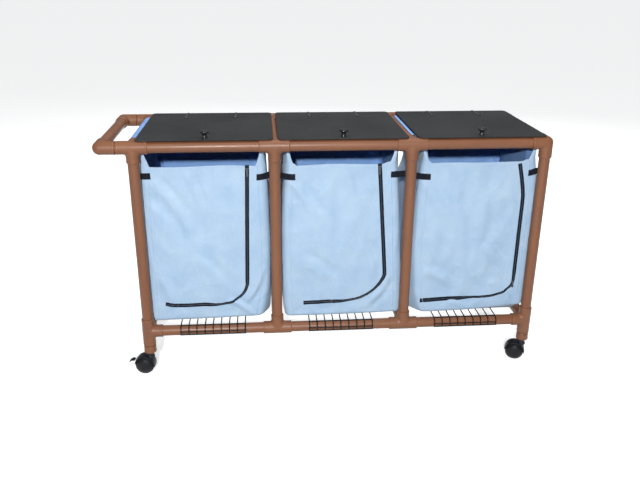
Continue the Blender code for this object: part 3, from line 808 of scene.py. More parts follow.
def crown():
    """Points and faces of the hood's crown about the axle, a little narrower at both ends."""
    points = []
    for step in range(CROWN_STEPS + 1):
        angle = math.radians(CROWN_START + (CROWN_END - CROWN_START) * step / CROWN_STEPS)
        fade = min(1.0, step / 2.0, (CROWN_STEPS - step) / 2.0)
        for across, radius in CROWN:
            narrowed = across * (0.90 + 0.10 * fade)
            points.append((radius * math.cos(angle), narrowed, radius * math.sin(angle)))
    width = len(CROWN)
    last = CROWN_STEPS * width
    faces = []
    for here in range(0, last, width):
        there = here + width
        for corner in range(width):
            after = (corner + 1) % width
            faces.append((here + corner, there + corner, there + after, here + after))
    faces += [tuple(range(width)), tuple(reversed(range(last, last + width)))]
    return points, faces


def web():
    """Points and faces of the plate between the wheels that joins the crown to the axle."""
    outline = arc((0, 0), 0.0400, CROWN_START, CROWN_END, 30) + arc((0, 0), 0.0135, 215, 340, 10)
    count = len(outline)
    points = [(x, y, z) for y in (-WEB_HALF, WEB_HALF) for x, z in outline]
    faces = [tuple(range(count)), tuple(reversed(range(count, 2 * count)))]
    faces += [(k, count + k, count + (k + 1) % count, (k + 1) % count) for k in range(count)]
    return points, faces


def add_caster(label):
    """Twin wheels with treads and an axle, the hood with its stem, and a brake lever if the CAD has one."""
    place, trail, hub_z = caster_place(label)
    axle_place = place @ Matrix.Translation((trail, 0, hub_z))
    hub = axle_place @ Matrix.Rotation(math.pi / 2, 4, "X")
    wheels, treads = Form(), Form()
    for turned in (Matrix.Identity(4), Matrix.Rotation(math.pi, 4, "X")):
        wheels.turn(DISC, 72, hub @ turned)
        treads.turn(TREAD, 72, hub @ turned, closed=True)
    wheels.turn(AXLE, 24, hub)
    node = f"caster_wheels_{label}"
    wheels.piece(f"caster_{label}_wheel_discs", "wheel", f"wheels_{label}", "caster_wheel", (node,), 35)
    treads.piece(f"caster_{label}_treads", "tread", f"wheels_{label}", "caster_wheel", (node,), 35)

    node = f"caster_hood_{label}"
    hood = Form().add(*crown(), axle_place).add(*web(), axle_place).turn(BOSS, 40, place)
    hood.piece(f"caster_{label}_hood", "hood", f"caster_{label}", "caster_hood", (node,), 38)
    stem = Form().turn(STEM, 28, place)
    stem.piece(f"caster_{label}_stem", "steel", f"caster_{label}", "wire", (node,), 35)

    node = f"brake_lever_{label}"
    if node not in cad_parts:
        return
    root = (LEVER_ROOT_R * math.cos(LEVER_ANGLE), 0, LEVER_ROOT_R * math.sin(LEVER_ANGLE))
    pivot = axle_place @ Matrix.Translation(root)
    spine = smooth_path([(x, 0, z) for x, z in LEVER], 6)
    reach = len(spine) - 1

    def taper(index):
        share = index / reach
        return min(1.0, 0.72 + 0.9 * share, 1.0 - 0.35 * max(0.0, share - 0.86) / 0.14)

    lever = Form().carry(spine, oval(0.0250, 0.0034, 20, 0.35), pivot, normal=(0, 0, 1), scale=taper)
    for share in (0.45, 0.56, 0.67, 0.78):
        at = spine[int(share * reach)]
        ridge = [(at.x, offset, at.z + 0.0016) for offset in (-0.0095, -0.009, 0.009, 0.0095)]
        lever.carry(ridge, circle(0.0007, 8), pivot, normal=(0, 0, 1))
    lever.piece(f"caster_{label}_brake_lever", "hood", f"brake_{label}", "caster_hood", (node,), 40)


# ---------------------------------------------------------------- bags
BAG_LOW_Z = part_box("bag_1")[0].z
BAG_HALF_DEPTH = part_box("bag_1")[1].y
MOUTH_Z = 0.862
BACK_MOUTH_Z = 0.911
EAR_LEAN = 0.019
EAR_Z = 0.916
HEM_Z = 0.9404
HEM_R = 0.0223
HEM_HALF_LENGTH = 0.190
CLOTH = 0.0012
FRONT_SLACK = 0.0052
FOLD_GAIN = 2.7
PANEL_COLUMNS = 76
SIDE_COLUMNS = 52
ROWS = 84

# The left and right wall of each bag, in tenths of a millimetre. Corners: (height, distance from the leg
# line). Ear: the distance of its inner edge, and the width of the soft curve before it. Lift: how high the
# bottom edge is. Hang: how far the wall hangs in below its sleeve. Tuck: how much further in its back corner
# is.
Wall = namedtuple("Wall", "corners ear lift hang tuck")
WALLS = tenths((
    (
        (((2135, 70), (5000, 50), (7000, 60), (8000, 90), (8800, 130)),
         (510, 60), 0, 0, 0),
        (((2135, 600), (2450, 470), (2900, 370), (3400, 290), (4000, 240), (5000, 205), (7000, 260),
          (8600, 310), (9200, 420)),
         (725, 60), 90, 60, 0),
    ),
    (
        (((2135, 340), (2700, 270), (5000, 215), (7000, 280), (8000, 360), (8600, 390), (9200, 500)),
         (715, 120), 20, 60, 0),
        (((2135, 60), (2700, 50), (4000, 95), (5000, 155), (7000, 285), (8000, 380), (8800, 470),
          (9200, 520)),
         (775, 340), 80, 60, 0),
    ),
    (
        (((2135, 720), (2500, 560), (3000, 430), (4000, 350), (5000, 315), (8000, 375), (8800, 520),
          (9200, 580)),
         (765, 100), 20, 300, 220),
        (((2135, 0), (4000, -30), (6000, -40), (7200, -40), (8000, 20), (8800, 180)),
         (515, 260), 240, 80, 0),
    ),
))

# Zip routes on the front panels from the mouth: (distance from the bag's left leg line, height), in tenths of
# a millimetre. The first STRAIGHT points go down the panel, the others round its corner and along its bottom.
STRAIGHT = 6
ZIP_ROUTES = tenths((
    ((4153, 8580), (4150, 8460), (4086, 6160), (4025, 3860), (4005, 3660), (3930, 3440), (3780, 3230),
     (3530, 3030), (3225, 2900), (2725, 2830), (2225, 2880), (1685, 2850), (1165, 2860), (715, 2930)),
    ((4033, 8600), (4045, 8460), (4215, 6340), (4385, 4220), (4375, 3920), (4195, 3580), (3855, 3230),
     (3375, 2960), (2795, 2850), (2135, 2830), (1085, 2790)),
    ((4360, 8570), (4445, 8200), (4535, 7800), (4602, 7420), (4635, 7000), (4635, 5000), (4635, 3750),
     (4625, 3500), (4545, 3300), (4355, 3120), (4035, 2970), (3585, 2870), (2875, 2830), (2185, 2800),
     (1475, 2770), (735, 2750)),
))

# Folds on the front panels: x and z of both ends in ten-thousandths of the panel, then width and depth in
# tenths of a millimetre.
FOLDS = tenths((
    ((1000, 9300, 4200, 5500, 160, 24), (3400, 9800, 4600, 7000, 130, 18), (500, 8000, 3000, 4600, 200, 18),
     (4000, 4200, 6200, 2000, 160, 20), (9500, 9000, 9300, 3500, 90, 30), (9000, 3400, 7400, 1000, 120, 26),
     (6200, 1400, 8200, 200, 110, 20), (1200, 3000, 2000, 600, 180, 16), (3000, 9000, 3600, 3000, 260, 12),
     (9300, 8600, 9000, 5200, 55, 7), (9800, 4000, 8400, 3100, 50, 9), (9850, 5500, 9300, 3400, 50, 8),
     (9300, 2000, 8000, 1200, 60, 7), (300, 6200, 600, 2200, 50, 7)),
    ((800, 9300, 3400, 6200, 160, 22), (9400, 9000, 9200, 4000, 90, 28), (2000, 4000, 4600, 2200, 200, 20),
     (4000, 8800, 3400, 3400, 240, 16), (6600, 5000, 7800, 2400, 180, 20), (500, 8800, 600, 3000, 80, 24),
     (8800, 2800, 7000, 600, 140, 24), (5000, 9900, 6000, 7400, 140, 14), (400, 7000, 700, 3400, 50, 8),
     (9500, 7200, 9800, 4000, 50, 8), (200, 3600, 1200, 2800, 60, 7)),
    ((600, 9200, 3600, 6000, 160, 24), (500, 9000, 500, 3400, 80, 28), (1600, 3000, 4000, 1800, 200, 20),
     (3400, 8600, 4600, 3600, 240, 16), (6000, 8000, 5600, 4200, 200, 14), (6200, 4600, 8000, 3000, 160, 20),
     (7000, 2200, 9000, 400, 140, 22), (3600, 800, 5400, 200, 140, 10), (300, 7400, 800, 5000, 55, 9),
     (200, 5200, 600, 2600, 50, 7), (9700, 6600, 9400, 4000, 50, 8)),
))


# The sewn band round the mouth: (down from the edge, out from the cloth) in tenths of a millimetre.
HEM_BAND = tenths([(-6, -11), (60, -11), (118, -9), (124, 0), (118, 9), (60, 11), (0, 11), (-10, 6), (-12, 0)])


def spread(count, crowd):
    """Positions from 0 to 1, closer together towards both ends."""
    even = np.linspace(0, 1, count + 1)[:-1]
    return (1 - crowd) * even + crowd * (0.5 - 0.5 * np.cos(np.pi * even))


def wall_inset(wall, z):
    """How far a bag's corner is from the leg line at a height."""
    return np.interp(z, *zip(*wall.corners))


def strap_place(number, side):
    """A corner strap's box, the line of its leg, the direction from there into the bag, and its reach."""
    low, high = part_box(f"corner_strap_{number}_{side}")
    if side == "left":
        return low, high, LEG_X[number - 1], 1, high.x - LEG_X[number - 1]
    return low, high, LEG_X[number], -1, LEG_X[number] - low.x


class Bag:
    """One bag as a grid of points: columns go round it from the front left corner, rows go up."""

    def __init__(self, number):
        self.number = number
        self.left, self.right = [Wall(*wall) for wall in WALLS[number - 1]]
        self.x_left, self.x_right = LEG_X[number - 1:number + 1]
        counts = [PANEL_COLUMNS, SIDE_COLUMNS, PANEL_COLUMNS, SIDE_COLUMNS]
        self.side = np.repeat([0, 1, 2, 3], counts)
        self.share = np.concatenate([spread(count, 0.62) for count in counts])
        self.count = len(self.share)
        self.out_x = np.array([0.0, 1.0, 0.0, -1.0])[self.side]
        self.out_y = np.array([-1.0, 0.0, 1.0, 0.0])[self.side]
        self.place = self.grid()
        self.wrinkle()

    def inset(self, wall, z, corner, back):
        """Wall distance from the leg line; corner is 1 at the bag's corners and 0 mid-side."""
        tucked = smoothstep((z - 0.70) / 0.10) * smoothstep((back - 0.6) / 0.3)
        at_corner = wall_inset(wall, z) + wall.tuck * tucked
        middle = np.interp(
            z, [0.2135, 0.30, 0.60, 0.80, 0.90, HEM_Z], [0.030, 0.022, 0.020, 0.026, 0.027, HEM_R - 0.0004])
        middle = middle + wall.hang * smoothstep((z - 0.68) / 0.12) * (1 - smoothstep((z - 0.895) / 0.035))
        return at_corner * corner + middle * (1 - corner)

    def rise(self, distance, wall):
        """How far the top edge has risen to the ear, from the distance to the leg line."""
        ear, soft = wall.ear
        lean = EAR_LEAN + wall_inset(wall, EAR_Z) - wall_inset(wall, MOUTH_Z)
        steep = np.clip((ear - distance) / lean, 0, 1)
        gentle = 0.16 * (1 - smoothstep((distance - ear) / soft)) if soft > 0.008 else 0.0
        return np.maximum(steep, gentle)

    def grid(self):
        """The points of the bag before folds and slack."""
        depth = BAG_HALF_DEPTH
        share, side = self.share, self.side
        panel = (side == 0) | (side == 2)
        width = self.x_right - self.x_left
        walls = [side == index for index in range(4)]
        across = np.select(walls, [share, 1.0, 1 - share, 0.0])
        back = np.select(walls, [0.0, share, 1.0, 1 - share])
        y_flat = (back * 2 - 1) * depth

        # Heights: the front and back edges rise to the ears, and the sides rise to the sleeves.
        left_inset = wall_inset(self.left, MOUTH_Z)
        right_inset = wall_inset(self.right, MOUTH_Z)
        near_left = left_inset + across * (width - left_inset - right_inset)
        rise = np.maximum(self.rise(near_left, self.left), self.rise(width - near_left, self.right))
        wave = 0.0016 * np.sin(across * 9.0 + self.number * 2.0) - 0.001 * np.cos(across * 5.0)
        mouth = np.where(side == 2, BACK_MOUTH_Z, MOUTH_Z)
        panel_top = (mouth + wave) * (1 - rise) + EAR_Z * rise
        hem = smoothstep((depth - np.abs(y_flat) - 0.006) / 0.032)
        top = np.where(panel, panel_top, EAR_Z + (HEM_Z - EAR_Z) * hem)
        low = BAG_LOW_Z + self.left.lift * (1 - across) ** 2 + self.right.lift * across ** 2
        even = np.linspace(0, 1, ROWS + 1)
        tall = even - 0.35 * np.sin(2 * np.pi * even) / (2 * np.pi)
        z = low + (top - low) * tall[:, None]

        corner = 1 - smoothstep((depth - np.abs(y_flat) - 0.004) / 0.075)
        x_low = self.x_left + self.inset(self.left, z, corner, back)
        x_high = self.x_right - self.inset(self.right, z, corner, back)

        # Vertical corners turn on a radius, and the bottom edge on a smaller one.
        radius = np.interp(z, [0.21, 0.26, 0.84, 0.91], [0.022, 0.025, 0.024, 0.018])
        near = np.minimum(share, 1 - share) * np.where(panel, width - 0.05, 2 * depth)
        angle = (np.clip(near / radius, 0, 1) + 1) * np.pi / 4
        turning = near < radius
        pull = np.where(turning, radius * (1 - np.sin(angle)), 0.0)
        along = np.where(turning, radius * (1 - np.cos(angle)) - near, 0.0)
        lift = np.clip(1 - (z - low) / 0.016, 0, 1)
        foot = 0.016 * (1 - np.sqrt(np.clip(1 - lift * lift, 0, 1)))
        inward = pull + foot
        toward = np.where(share < 0.5, 1.0, -1.0)
        x = x_low + (x_high - x_low) * across - self.out_x * inward - self.out_y * toward * along
        y = y_flat - self.out_y * inward + self.out_x * toward * along
        edge = foot * np.clip(1 - near / 0.03, 0, 1)
        x += np.where(panel, np.where(across < 0.5, edge, -edge), 0)
        y += np.where(panel, 0, -np.sign(y) * edge)
        return np.stack([x, y, z], axis=2)

    def wrinkle(self):
        """Folds and slack: small moves along each wall's outward direction."""
        place, side = self.place, self.side
        x, z = place[..., 0], place[..., 2]
        seed = 7.3 * self.number

        def field(where):
            values = [noise.noise(Vector(where(*point))) for point in place.reshape(-1, 3)]
            return np.array(values).reshape(x.shape)

        soft = field(lambda px, py, pz: (px * 5.5 + seed, py * 5.5, pz * 3.2))
        medium = field(lambda px, py, pz: (px * 17 + seed, py * 17 + pz * 5, pz * 8 - px * 6))
        ridged = 1 - np.abs(field(lambda px, py, pz: (px * 11 - pz * 5, py * 11 + seed, pz * 6 + px * 7)))
        move = 0.0040 * soft + 0.0022 * medium + 0.0062 * (ridged - 0.85)
        panel = (x - self.x_left) / (self.x_right - self.x_left)
        tall = (z - BAG_LOW_Z) / (MOUTH_Z - BAG_LOW_Z)
        for x0, z0, x1, z1, *size in FOLDS[self.number - 1]:
            move += np.where(side == 0, self.fold(z, panel, x0, z0, x1, z1, *size), 0.0)
            move += np.where(side == 2, self.fold(z, panel, 1 - x0, z0, 1 - x1, z1, *size), 0.0)
        # Three level creases.
        for level, size in ((0.52, 0.0011), (0.27, 0.0006), (0.76, 0.0006)):
            drift = level + 0.006 * np.sin(panel * 5 + self.number)
            move += size * np.exp(-((tall - drift) / 0.006) ** 2)
        # Quiet under the straps.
        for end in ("left", "right"):
            low, _, leg, turn, reach = strap_place(self.number, end)
            by_x = 1 - smoothstep(((x - leg) * turn - reach - 0.002) / 0.020)
            by_z = 1 - smoothstep((np.abs(z - low.z - 0.012) - 0.014) / 0.022)
            move = move * (1 - by_x * by_z)
        # Quiet near the mouth, the bottom edge and the corners.
        quiet = smoothstep(tall / 0.06) * (0.35 + 0.65 * smoothstep((1.0 - tall) / 0.10))
        near = np.minimum(self.share, 1 - self.share) * 0.46
        quiet = quiet * (0.15 + 0.85 * smoothstep(near / 0.045))
        move = move * quiet
        # The front panel only sinks where the zip pull slides.
        across, up = zip(*ZIP_ROUTES[self.number - 1][:STRAIGHT])
        zip_x = self.x_left + np.interp(-z, [-height for height in up], across)
        by_zip = np.exp(-((x - zip_x) / 0.030) ** 2) * smoothstep((z - 0.30) / 0.05)
        bulge = 0.0035 * np.sin(np.pi * np.clip(tall, 0, 1)) * np.sin(np.pi * np.clip(panel, 0, 1))
        calm = np.where(side == 0, 1 - by_zip, 1.0)
        belly = np.where((side == 0) | (side == 2), bulge, 0.0)
        move = (move + belly) * calm
        self.place = place + np.stack([self.out_x * move, self.out_y * move, np.zeros_like(z)], axis=2)
        front = self.place[:, :PANEL_COLUMNS, 1]
        np.maximum(front, -BAG_HALF_DEPTH - FRONT_SLACK, out=front)

    def fold(self, z, panel, x0, z0, x1, z1, width, depth):
        """A ridge between two points of the panel that fades towards its ends."""
        high = MOUTH_Z - BAG_LOW_Z
        wide = self.x_right - self.x_left
        ax, az = x0 * wide, z0 * high
        bx, bz = x1 * wide, z1 * high
        px, pz = panel * wide, z - BAG_LOW_Z
        length = math.hypot(bx - ax, bz - az)
        ux, uz = (bx - ax) / length, (bz - az) / length
        along = ((px - ax) * ux + (pz - az) * uz) / length
        bend = 0.010 * np.sin(np.clip(along, 0, 1) * np.pi)
        off = (px - ax) * -uz + (pz - az) * ux - bend
        fade = smoothstep((along + 0.10) / 0.25) * smoothstep((1.10 - along) / 0.5)
        ridge = np.exp(-(off / width) ** 2) - 0.55 * np.exp(-((off - 1.7 * width) / width) ** 2)
        return FOLD_GAIN * depth * ridge * fade

    def front_point(self, x, z, lift):
        """The point of the front panel at x and z, moved outwards by lift."""
        columns = [self.place[:, column] for column in range(PANEL_COLUMNS)]
        xs, ys = [[np.interp(z, column[:, 2], column[:, axis]) for column in columns] for axis in (0, 1)]
        return Vector((x, float(np.interp(x, xs, ys)) - lift, z))

    def column_line(self, column, lift):
        """Points up one column of the grid, moved out by lift."""
        line = self.place[:, column]
        ahead = self.place[:, (column + 1) % self.count] - self.place[:, column - 1]
        outward = np.stack([ahead[:, 1], -ahead[:, 0], np.zeros(len(ahead))], axis=1)
        outward /= np.linalg.norm(outward, axis=1, keepdims=True)
        return line + outward * lift, outward

    def seams(self):
        """Welts where the front and back panels meet the side gussets, and the hem round the mouth."""
        form, sewn = Form(), Form()
        for start in (0, PANEL_COLUMNS + SIDE_COLUMNS):
            for share in (0.074, 0.926):
                column = start + int(np.argmin(np.abs(self.share[:PANEL_COLUMNS] - share)))
                line, outward = self.column_line(column, 0.0004)
                line, outward = line[3:-1], outward[3:-1]
                form.carry(line, ellipse(0.0021, 0.0011), normal=lambda index: Vector(outward[index]))
                side_step = np.cross(outward, [0, 0, 1]) * (0.0045 if share > 0.5 else -0.0045)
                add_stitches(sewn, line + outward * 0.0003 + side_step, outward)
            edge = self.place[-1, start + 1:start + PANEL_COLUMNS]
            outward = np.array([0.0, -1.0, 0.0]) if start == 0 else np.array([0.0, 1.0, 0.0])
            form.carry(edge, HEM_BAND, normal=tuple(outward))
            level = MOUTH_Z if start == 0 else BACK_MOUTH_Z
            middle = edge[(edge[:, 2] < level + 0.006)]
            lowered = middle + outward * 0.0013 - np.array([0, 0, 0.0092])
            add_stitches(sewn, lowered, np.repeat(outward[None, :], len(lowered), axis=0))
        perimeter = [(point[0] + point[1], point[2]) for point in form.points]
        form.piece(f"bag_{self.number}_seams", "cloth", "frame", "bag_fabric", (), 50, perimeter)
        sewn.piece(f"bag_{self.number}_stitches", "thread", "frame", "bag_fabric", (), 60)

    def build(self):
        """The cloth: walls, bottom panel and sleeves in one shell, with its lining inside."""
        number, rows, count = self.number, self.place, self.count
        points = [tuple(point) for point in rows.reshape(-1, 3)]
        perimeter = 0.47 * (self.side + self.share)
        uvs = [(along, point[2]) for row in rows for along, point in zip(perimeter, row)]
        after = [(column + 1) % count for column in range(count)]
        faces = []
        for row in range(len(rows) - 1):
            low, high = row * count, (row + 1) * count
            faces += [(low + here, low + then, high + then, high + here) for here, then in enumerate(after)]
        # Bottom panel: rings that shrink towards its middle.
        middle = rows[0].mean(axis=0)
        floor_z = BAG_LOW_Z + 0.0002
        before = 0
        for shrink in (0.93, 0.80, 0.62, 0.42, 0.22):
            ring = len(points)
            for point in middle + (rows[0] - middle) * shrink:
                points.append((point[0], point[1], floor_z))
                uvs.append((point[0], point[1]))
            for here, then in enumerate(after):
                faces.append((before + then, before + here, ring + here, ring + then))
            before = ring
        hub = len(points)
        points.append((middle[0], middle[1], floor_z))
        uvs.append((middle[0], middle[1]))
        faces += [(before + then, before + here, hub) for here, then in enumerate(after)]
        # Sleeves round the cross pipes: whole at both ends of the cart, short where two bags share a pipe.
        for wall, leg, turn_in, end_bag in ((3, self.x_left, 1, 1), (1, self.x_right, -1, 3)):
            reach, steps, loose = (300.0, 30, 0.0) if number == end_bag else (57.0, 8, 0.0)
            if number == 3 and wall == 3:
                # This one is longer and looser, and shows between lids 2 and 3.
                reach, loose = 84.0, 0.006
            columns = [
                column for column in range(count)
                if self.side[column] == wall and abs(rows[-1, column, 1]) <= HEM_HALF_LENGTH
            ]
            before = [(len(rows) - 1) * count + column for column in columns]
            for step in range(1, steps + 1):
                turned = reach * step / steps
                angle = math.radians(-12 + turned)
                arch = math.sin(math.pi * step / steps)
                ring = list(range(len(points), len(points) + len(columns)))
                for column in columns:
                    y = rows[-1, column, 1]
                    ripple = 0.0003 * math.sin(y * 70 + step * 0.5) * arch
                    radius = HEM_R + 0.0002 + ripple + loose * arch
                    x = leg + turn_in * radius * math.cos(angle)
                    points.append((x, y, TOP_Z + radius * math.sin(angle)))
                    uvs.append((perimeter[column], HEM_Z + radius * math.radians(turned)))
                faces += [
                    (before[index], before[index + 1], ring[index + 1], ring[index])
                    for index in range(len(columns) - 1)
                ]
                before = ring
        form = Form().add(points, faces)
        shell = form.piece(f"bag_{number}_cloth", "cloth", "frame", "bag_fabric", (f"bag_{number}",), 60, uvs)
        thick = shell.modifiers.new("cloth", "SOLIDIFY")
        thick.thickness = CLOTH
        thick.offset = -1.0
        thick.use_even_offset = False
        thick.material_offset = 1
        shell.data.materials.append(LOOKS["lining"])

    def zip(self):
        """The zip's tape and coil, laid on the front panel."""
        route = smooth_path([(self.x_left + x, 0, z) for x, z in ZIP_ROUTES[self.number - 1]], 10)
        track = even_path(route, 0.004)
        bends = [float(smoothstep((0.40 - z) / 0.08)) for _, _, z in track]
        flats = [float(smoothstep((0.30 - x + self.x_left) / 0.07)) for x, _, _ in track]

        def narrow(index):
            """The tape looks narrower round the bottom corner and a little wider along the bottom."""
            flat = flats[index]
            curve = bends[index] * (1.0 - flat)
            return 1.0 - 0.34 * curve + flat * (0.10 + 0.06 * math.sin(index * 0.05 + self.number))

        path = [self.front_point(x, z, 0.0008) for x, _, z in track]
        tape = Form().carry(path, oval(0.0158, 0.0009, 14, 0.3), normal=(0, -1, 0), scale=narrow)
        tape.piece(f"bag_{self.number}_zip_tape", "tape", "frame", "webbing", (), 50)
        path = [self.front_point(x, z, 0.0013) for x, _, z in even_path(route, 0.0009)]
        coil = Form().carry(
            path, ellipse(0.0019, 0.0007), normal=(0, -1, 0), scale=lambda index: 1.0 if index % 2 else 0.72)
        coil.piece(f"bag_{self.number}_zip_coil", "coil", "frame", "webbing", (), 60)


def add_pull(number):
    """Slider, ring and pull tab of a zip, in place of the CAD pull."""
    low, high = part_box(f"zipper_pull_{number}")
    x = (low.x + high.x) / 2
    front, top = low.y, high.z
    form = Form()

    def bar(y, start, length, shares, sizes, section):
        """A flat bar that goes down from a height, with its width scaled at each share of its length."""
        path = [(x, y, start - length * share) for share in shares]
        form.carry(path, section, normal=(0, -1, 0), scale=lambda index: sizes[index])

    bar(high.y + 0.0004, top + 0.004, 0.0125, (0.0, 0.06, 0.3, 0.7, 0.94, 1.0),
        (0.80, 0.96, 1.0, 0.9, 0.78, 0.66), oval(0.0096, 0.0042, 16, 0.5))
    loop = arc((0, 0), 0.0024, 0, 360, 16)[:-1]
    ring = [(x, front + 0.0009 + dy * 0.45, top - 0.0022 + dz) for dy, dz in loop]
    form.carry(ring, circle(0.0006, 8), closed=True, normal=(1, 0, 0))
    tab_top = top - 0.004
    bar(front + 0.0009, tab_top, tab_top - low.z, (0.0, 0.03, 0.12, 0.3, 0.5, 0.75, 0.93, 1.0),
        (0.55, 0.75, 0.86, 0.80, 0.84, 0.98, 1.0, 0.80), oval(0.0078, 0.0016, 14, 0.5))
    stands_for = (f"zipper_pull_{number}",)
    form.piece(f"zip_{number}_pull_tab", "dark_metal", f"zip_{number}", "zipper_pull", stands_for, 45)


def add_stitches(form, line, outward, length=0.0026, pitch=0.0042):
    """Short raised stitches along a line, each a small four-sided bar."""
    spine = even_path(np.concatenate([line, outward], axis=1), 0.0014)
    steps = np.linalg.norm(np.diff(spine[:, :3], axis=0), axis=1)
    run = np.concatenate([[0.0], np.cumsum(steps)])
    bar = [(-0.00032, -0.0003), (0.00032, -0.0003), (0.00024, 0.00028), (-0.00024, 0.00028)]
    for start in np.arange(0.002, run[-1] - length, pitch):
        ends = []
        for at in (start, start + length * 0.5, start + length):
            ends.append(np.array([np.interp(at, run, spine[:, axis]) for axis in range(3)]))
        up = np.array([np.interp(start, run, spine[:, axis]) for axis in (3, 4, 5)])
        ends[1] = ends[1] + up * 0.0002
        form.carry(ends, bar, normal=tuple(up))


STRAP_WIDTH = 0.0245


def add_strap(number, side, face):
    """A corner strap: sewn flat to the panel with a box of stitches, then free to the far side of its leg."""
    low, high, leg, turn, reach = strap_place(number, side)
    depth = -1 if face == "front" else 1
    rise = (high.z - low.z) - STRAP_WIDTH
    wall = BAG_HALF_DEPTH + 0.0014
    ring = PIPE_R + 0.0011
    flat = [(reach, wall), (reach - 0.006, wall), (max(0.030, reach * 0.55), wall), (0.027, wall)]
    flat.append((0.0235, wall - 0.0002))
    wrapped = []
    for angle in (60, 80, 100, 118):
        spot = math.radians(angle)
        wrapped.append((ring * math.cos(spot), RAIL_Y - ring * math.sin(spot)))
    plan = smooth_path([(u, v, 0) for u, v in flat + wrapped], 5)
    length = sum((after - before).length for before, after in zip(plan, plan[1:]))
    run = 0.0
    path = []
    ups = []
    for index, point in enumerate(plan):
        if index:
            run += (point - plan[index - 1]).length
        share = run / length
        bow = 0.0010 * math.sin(math.pi * share)
        z = low.z + STRAP_WIDTH / 2 + rise * smoothstep(share) - bow
        path.append(Vector((leg + turn * point.x, depth * point.y, float(z))))
        ahead = plan[min(index + 1, len(plan) - 1)] - plan[max(index - 1, 0)]
        ups.append(Vector((turn * -ahead.y, depth * ahead.x, 0)) * -1)
    form = Form().carry(path, oval(STRAP_WIDTH, 0.0015, 20, 0.22), normal=lambda index: ups[index])
    stands_for = (f"corner_strap_{number}_{side}",) if face == "front" else ()
    name = f"corner_strap_{number}_{side}_{face}"
    form.piece(name, "webbing", "frame", "webbing", stands_for, 50)
    sewn = Form()
    out = depth * (wall + 0.0009)
    x0, x1 = leg + turn * (reach - 0.0025), leg + turn * (reach - 0.015)
    z0, z1 = low.z + 0.003, low.z + STRAP_WIDTH - 0.003
    box = [(x0, z0), (x0, z1), (x1, z1), (x1, z0), (x0, z0), (x1, z1)]
    for (xa, za), (xb, zb) in zip(box, box[1:]):
        line = np.array([(xa, out, za), (xb, out, zb)])
        add_stitches(sewn, line, np.array([(0.0, depth, 0.0)] * 2), 0.0022, 0.0034)
    sewn.piece(f"{name}_stitches", "coil", "frame", "webbing", (), 60)


for side in ("front", "back"):
    for level in ("top", "bottom"):
        add_rail(side, level)
    add_feet(side)
add_pipes()
for number in (1, 2, 3):
    add_lid(number)
    add_rack(number)
    bag = Bag(number)
    bag.build()
    bag.seams()
    bag.zip()
    add_pull(number)
    for side in ("left", "right"):
        for face in ("front", "back"):
            add_strap(number, side, face)
for label in ("front_left", "front_right", "back_left", "back_right"):
    add_caster(label)


# ---------------------------------------------------------------- floor, light and camera
# Name, place, aim, diameter and watts of each light.
LIGHTS = (
    ("overhead_softbox", (0.1, -0.3, 3.1), (0.1, -0.1, 0.9), 2.2, 30.0),
    ("front_key", (-0.58, -4.50, 2.34), (0.0, -0.2, 0.55), 0.16, 196.0),
    ("back_fill", (0.9, 3.8, 2.9), (0.0, 0.2, 0.55), 2.6, 85.0),
)

# The camera as fitted to the photograph: radians, metres and millimetres.
YAW, PITCH, ROLL = 0.0853, 0.3711, 0.0078
CAMERA_PLACE = (LEG_X[1] - 0.0448, -2.7891, 1.5575)
FOCAL_LENGTH, SENSOR_WIDTH = 39.15, 36.0


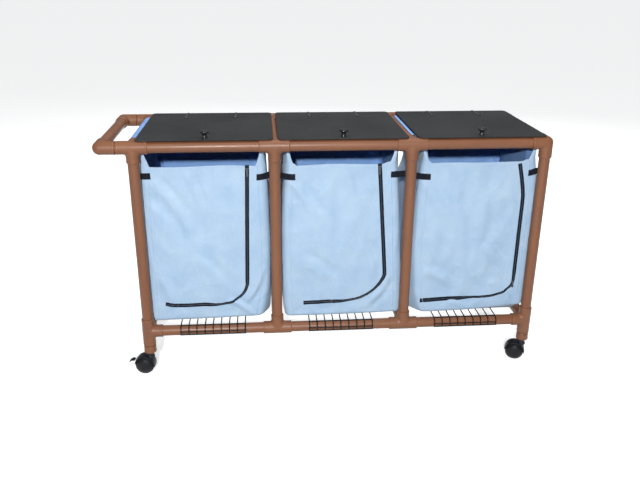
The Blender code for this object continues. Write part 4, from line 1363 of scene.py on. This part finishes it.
def stage():
    """A pale floor, a white backdrop far away, soft light and one light beside the camera."""
    reach = 60.0
    corners = [(-reach, -reach, 0), (reach, -reach, 0), (reach, reach, 0), (-reach, reach, 0)]
    floor_mesh = bpy.data.meshes.new("floor")
    floor_mesh.from_pydata(corners, [], [(0, 1, 2, 3)])
    dome = Form().turn([(reach, -1.0), (reach, 20.0), (reach * 0.8, 50.0), (0, reach)], 48)
    dome_mesh = bpy.data.meshes.new("backdrop")
    dome_mesh.from_pydata(dome.points, [], dome.faces)
    for mesh, base, glow in ((floor_mesh, 0.86, 0.60), (dome_mesh, 0.0, 0.98)):
        look = Look(f"pale_{mesh.name}", roughness=0.9, specular=0.05)
        look.set("Base Color", (base, base, base))
        look.set("Emission Color", (1.0, 1.0, 1.0))
        look.set("Emission Strength", glow)
        mesh.materials.append(look.material)
        obj = put(mesh.name, mesh)
        obj.visible_diffuse = False
        obj.visible_shadow = mesh == floor_mesh
        obj.visible_glossy = mesh == floor_mesh
    world = bpy.data.worlds.new("studio")
    world.use_nodes = True
    tree = world.node_tree
    sky = tree.nodes["Background"]
    sky.inputs["Color"].default_value = (0.96, 0.98, 1.0, 1.0)
    direction = tree.nodes.new("ShaderNodeTexCoord")
    split = tree.nodes.new("ShaderNodeSeparateXYZ")
    fade = tree.nodes.new("ShaderNodeMapRange")
    for name, value in (("From Min", -0.5), ("From Max", 0.7), ("To Min", 0.14), ("To Max", 0.34)):
        fade.inputs[name].default_value = value
    tree.links.new(direction.outputs["Generated"], split.inputs["Vector"])
    tree.links.new(split.outputs["Z"], fade.inputs["Value"])
    tree.links.new(fade.outputs["Result"], sky.inputs["Strength"])
    bpy.context.scene.world = world
    for name, place, aim, size, power in LIGHTS:
        data = bpy.data.lights.new(name, "AREA")
        data.shape = "DISK"
        data.size = size
        data.energy = power
        light = put(name, data)
        light.location = place
        light.rotation_euler = (Vector(aim) - Vector(place)).to_track_quat("-Z", "Y").to_euler()
        light.visible_glossy = name != "back_fill"


def camera():
    """The photograph's view."""
    forward = Vector((math.sin(YAW) * math.cos(PITCH), math.cos(YAW) * math.cos(PITCH), -math.sin(PITCH)))
    right = Vector((math.cos(YAW), -math.sin(YAW), 0))
    up = right.cross(forward)
    tilted_right = right * math.cos(ROLL) + up * math.sin(ROLL)
    tilted_up = up * math.cos(ROLL) - right * math.sin(ROLL)
    data = bpy.data.cameras.new("camera")
    data.lens = FOCAL_LENGTH
    data.sensor_width = SENSOR_WIDTH
    obj = put("camera", data)
    turn = Matrix((tilted_right, tilted_up, -forward)).transposed().to_4x4()
    obj.matrix_world = Matrix.Translation(CAMERA_PLACE) @ turn
    bpy.context.scene.camera = obj


stage()
camera()
bpy.context.scene.view_settings.view_transform = "Standard"
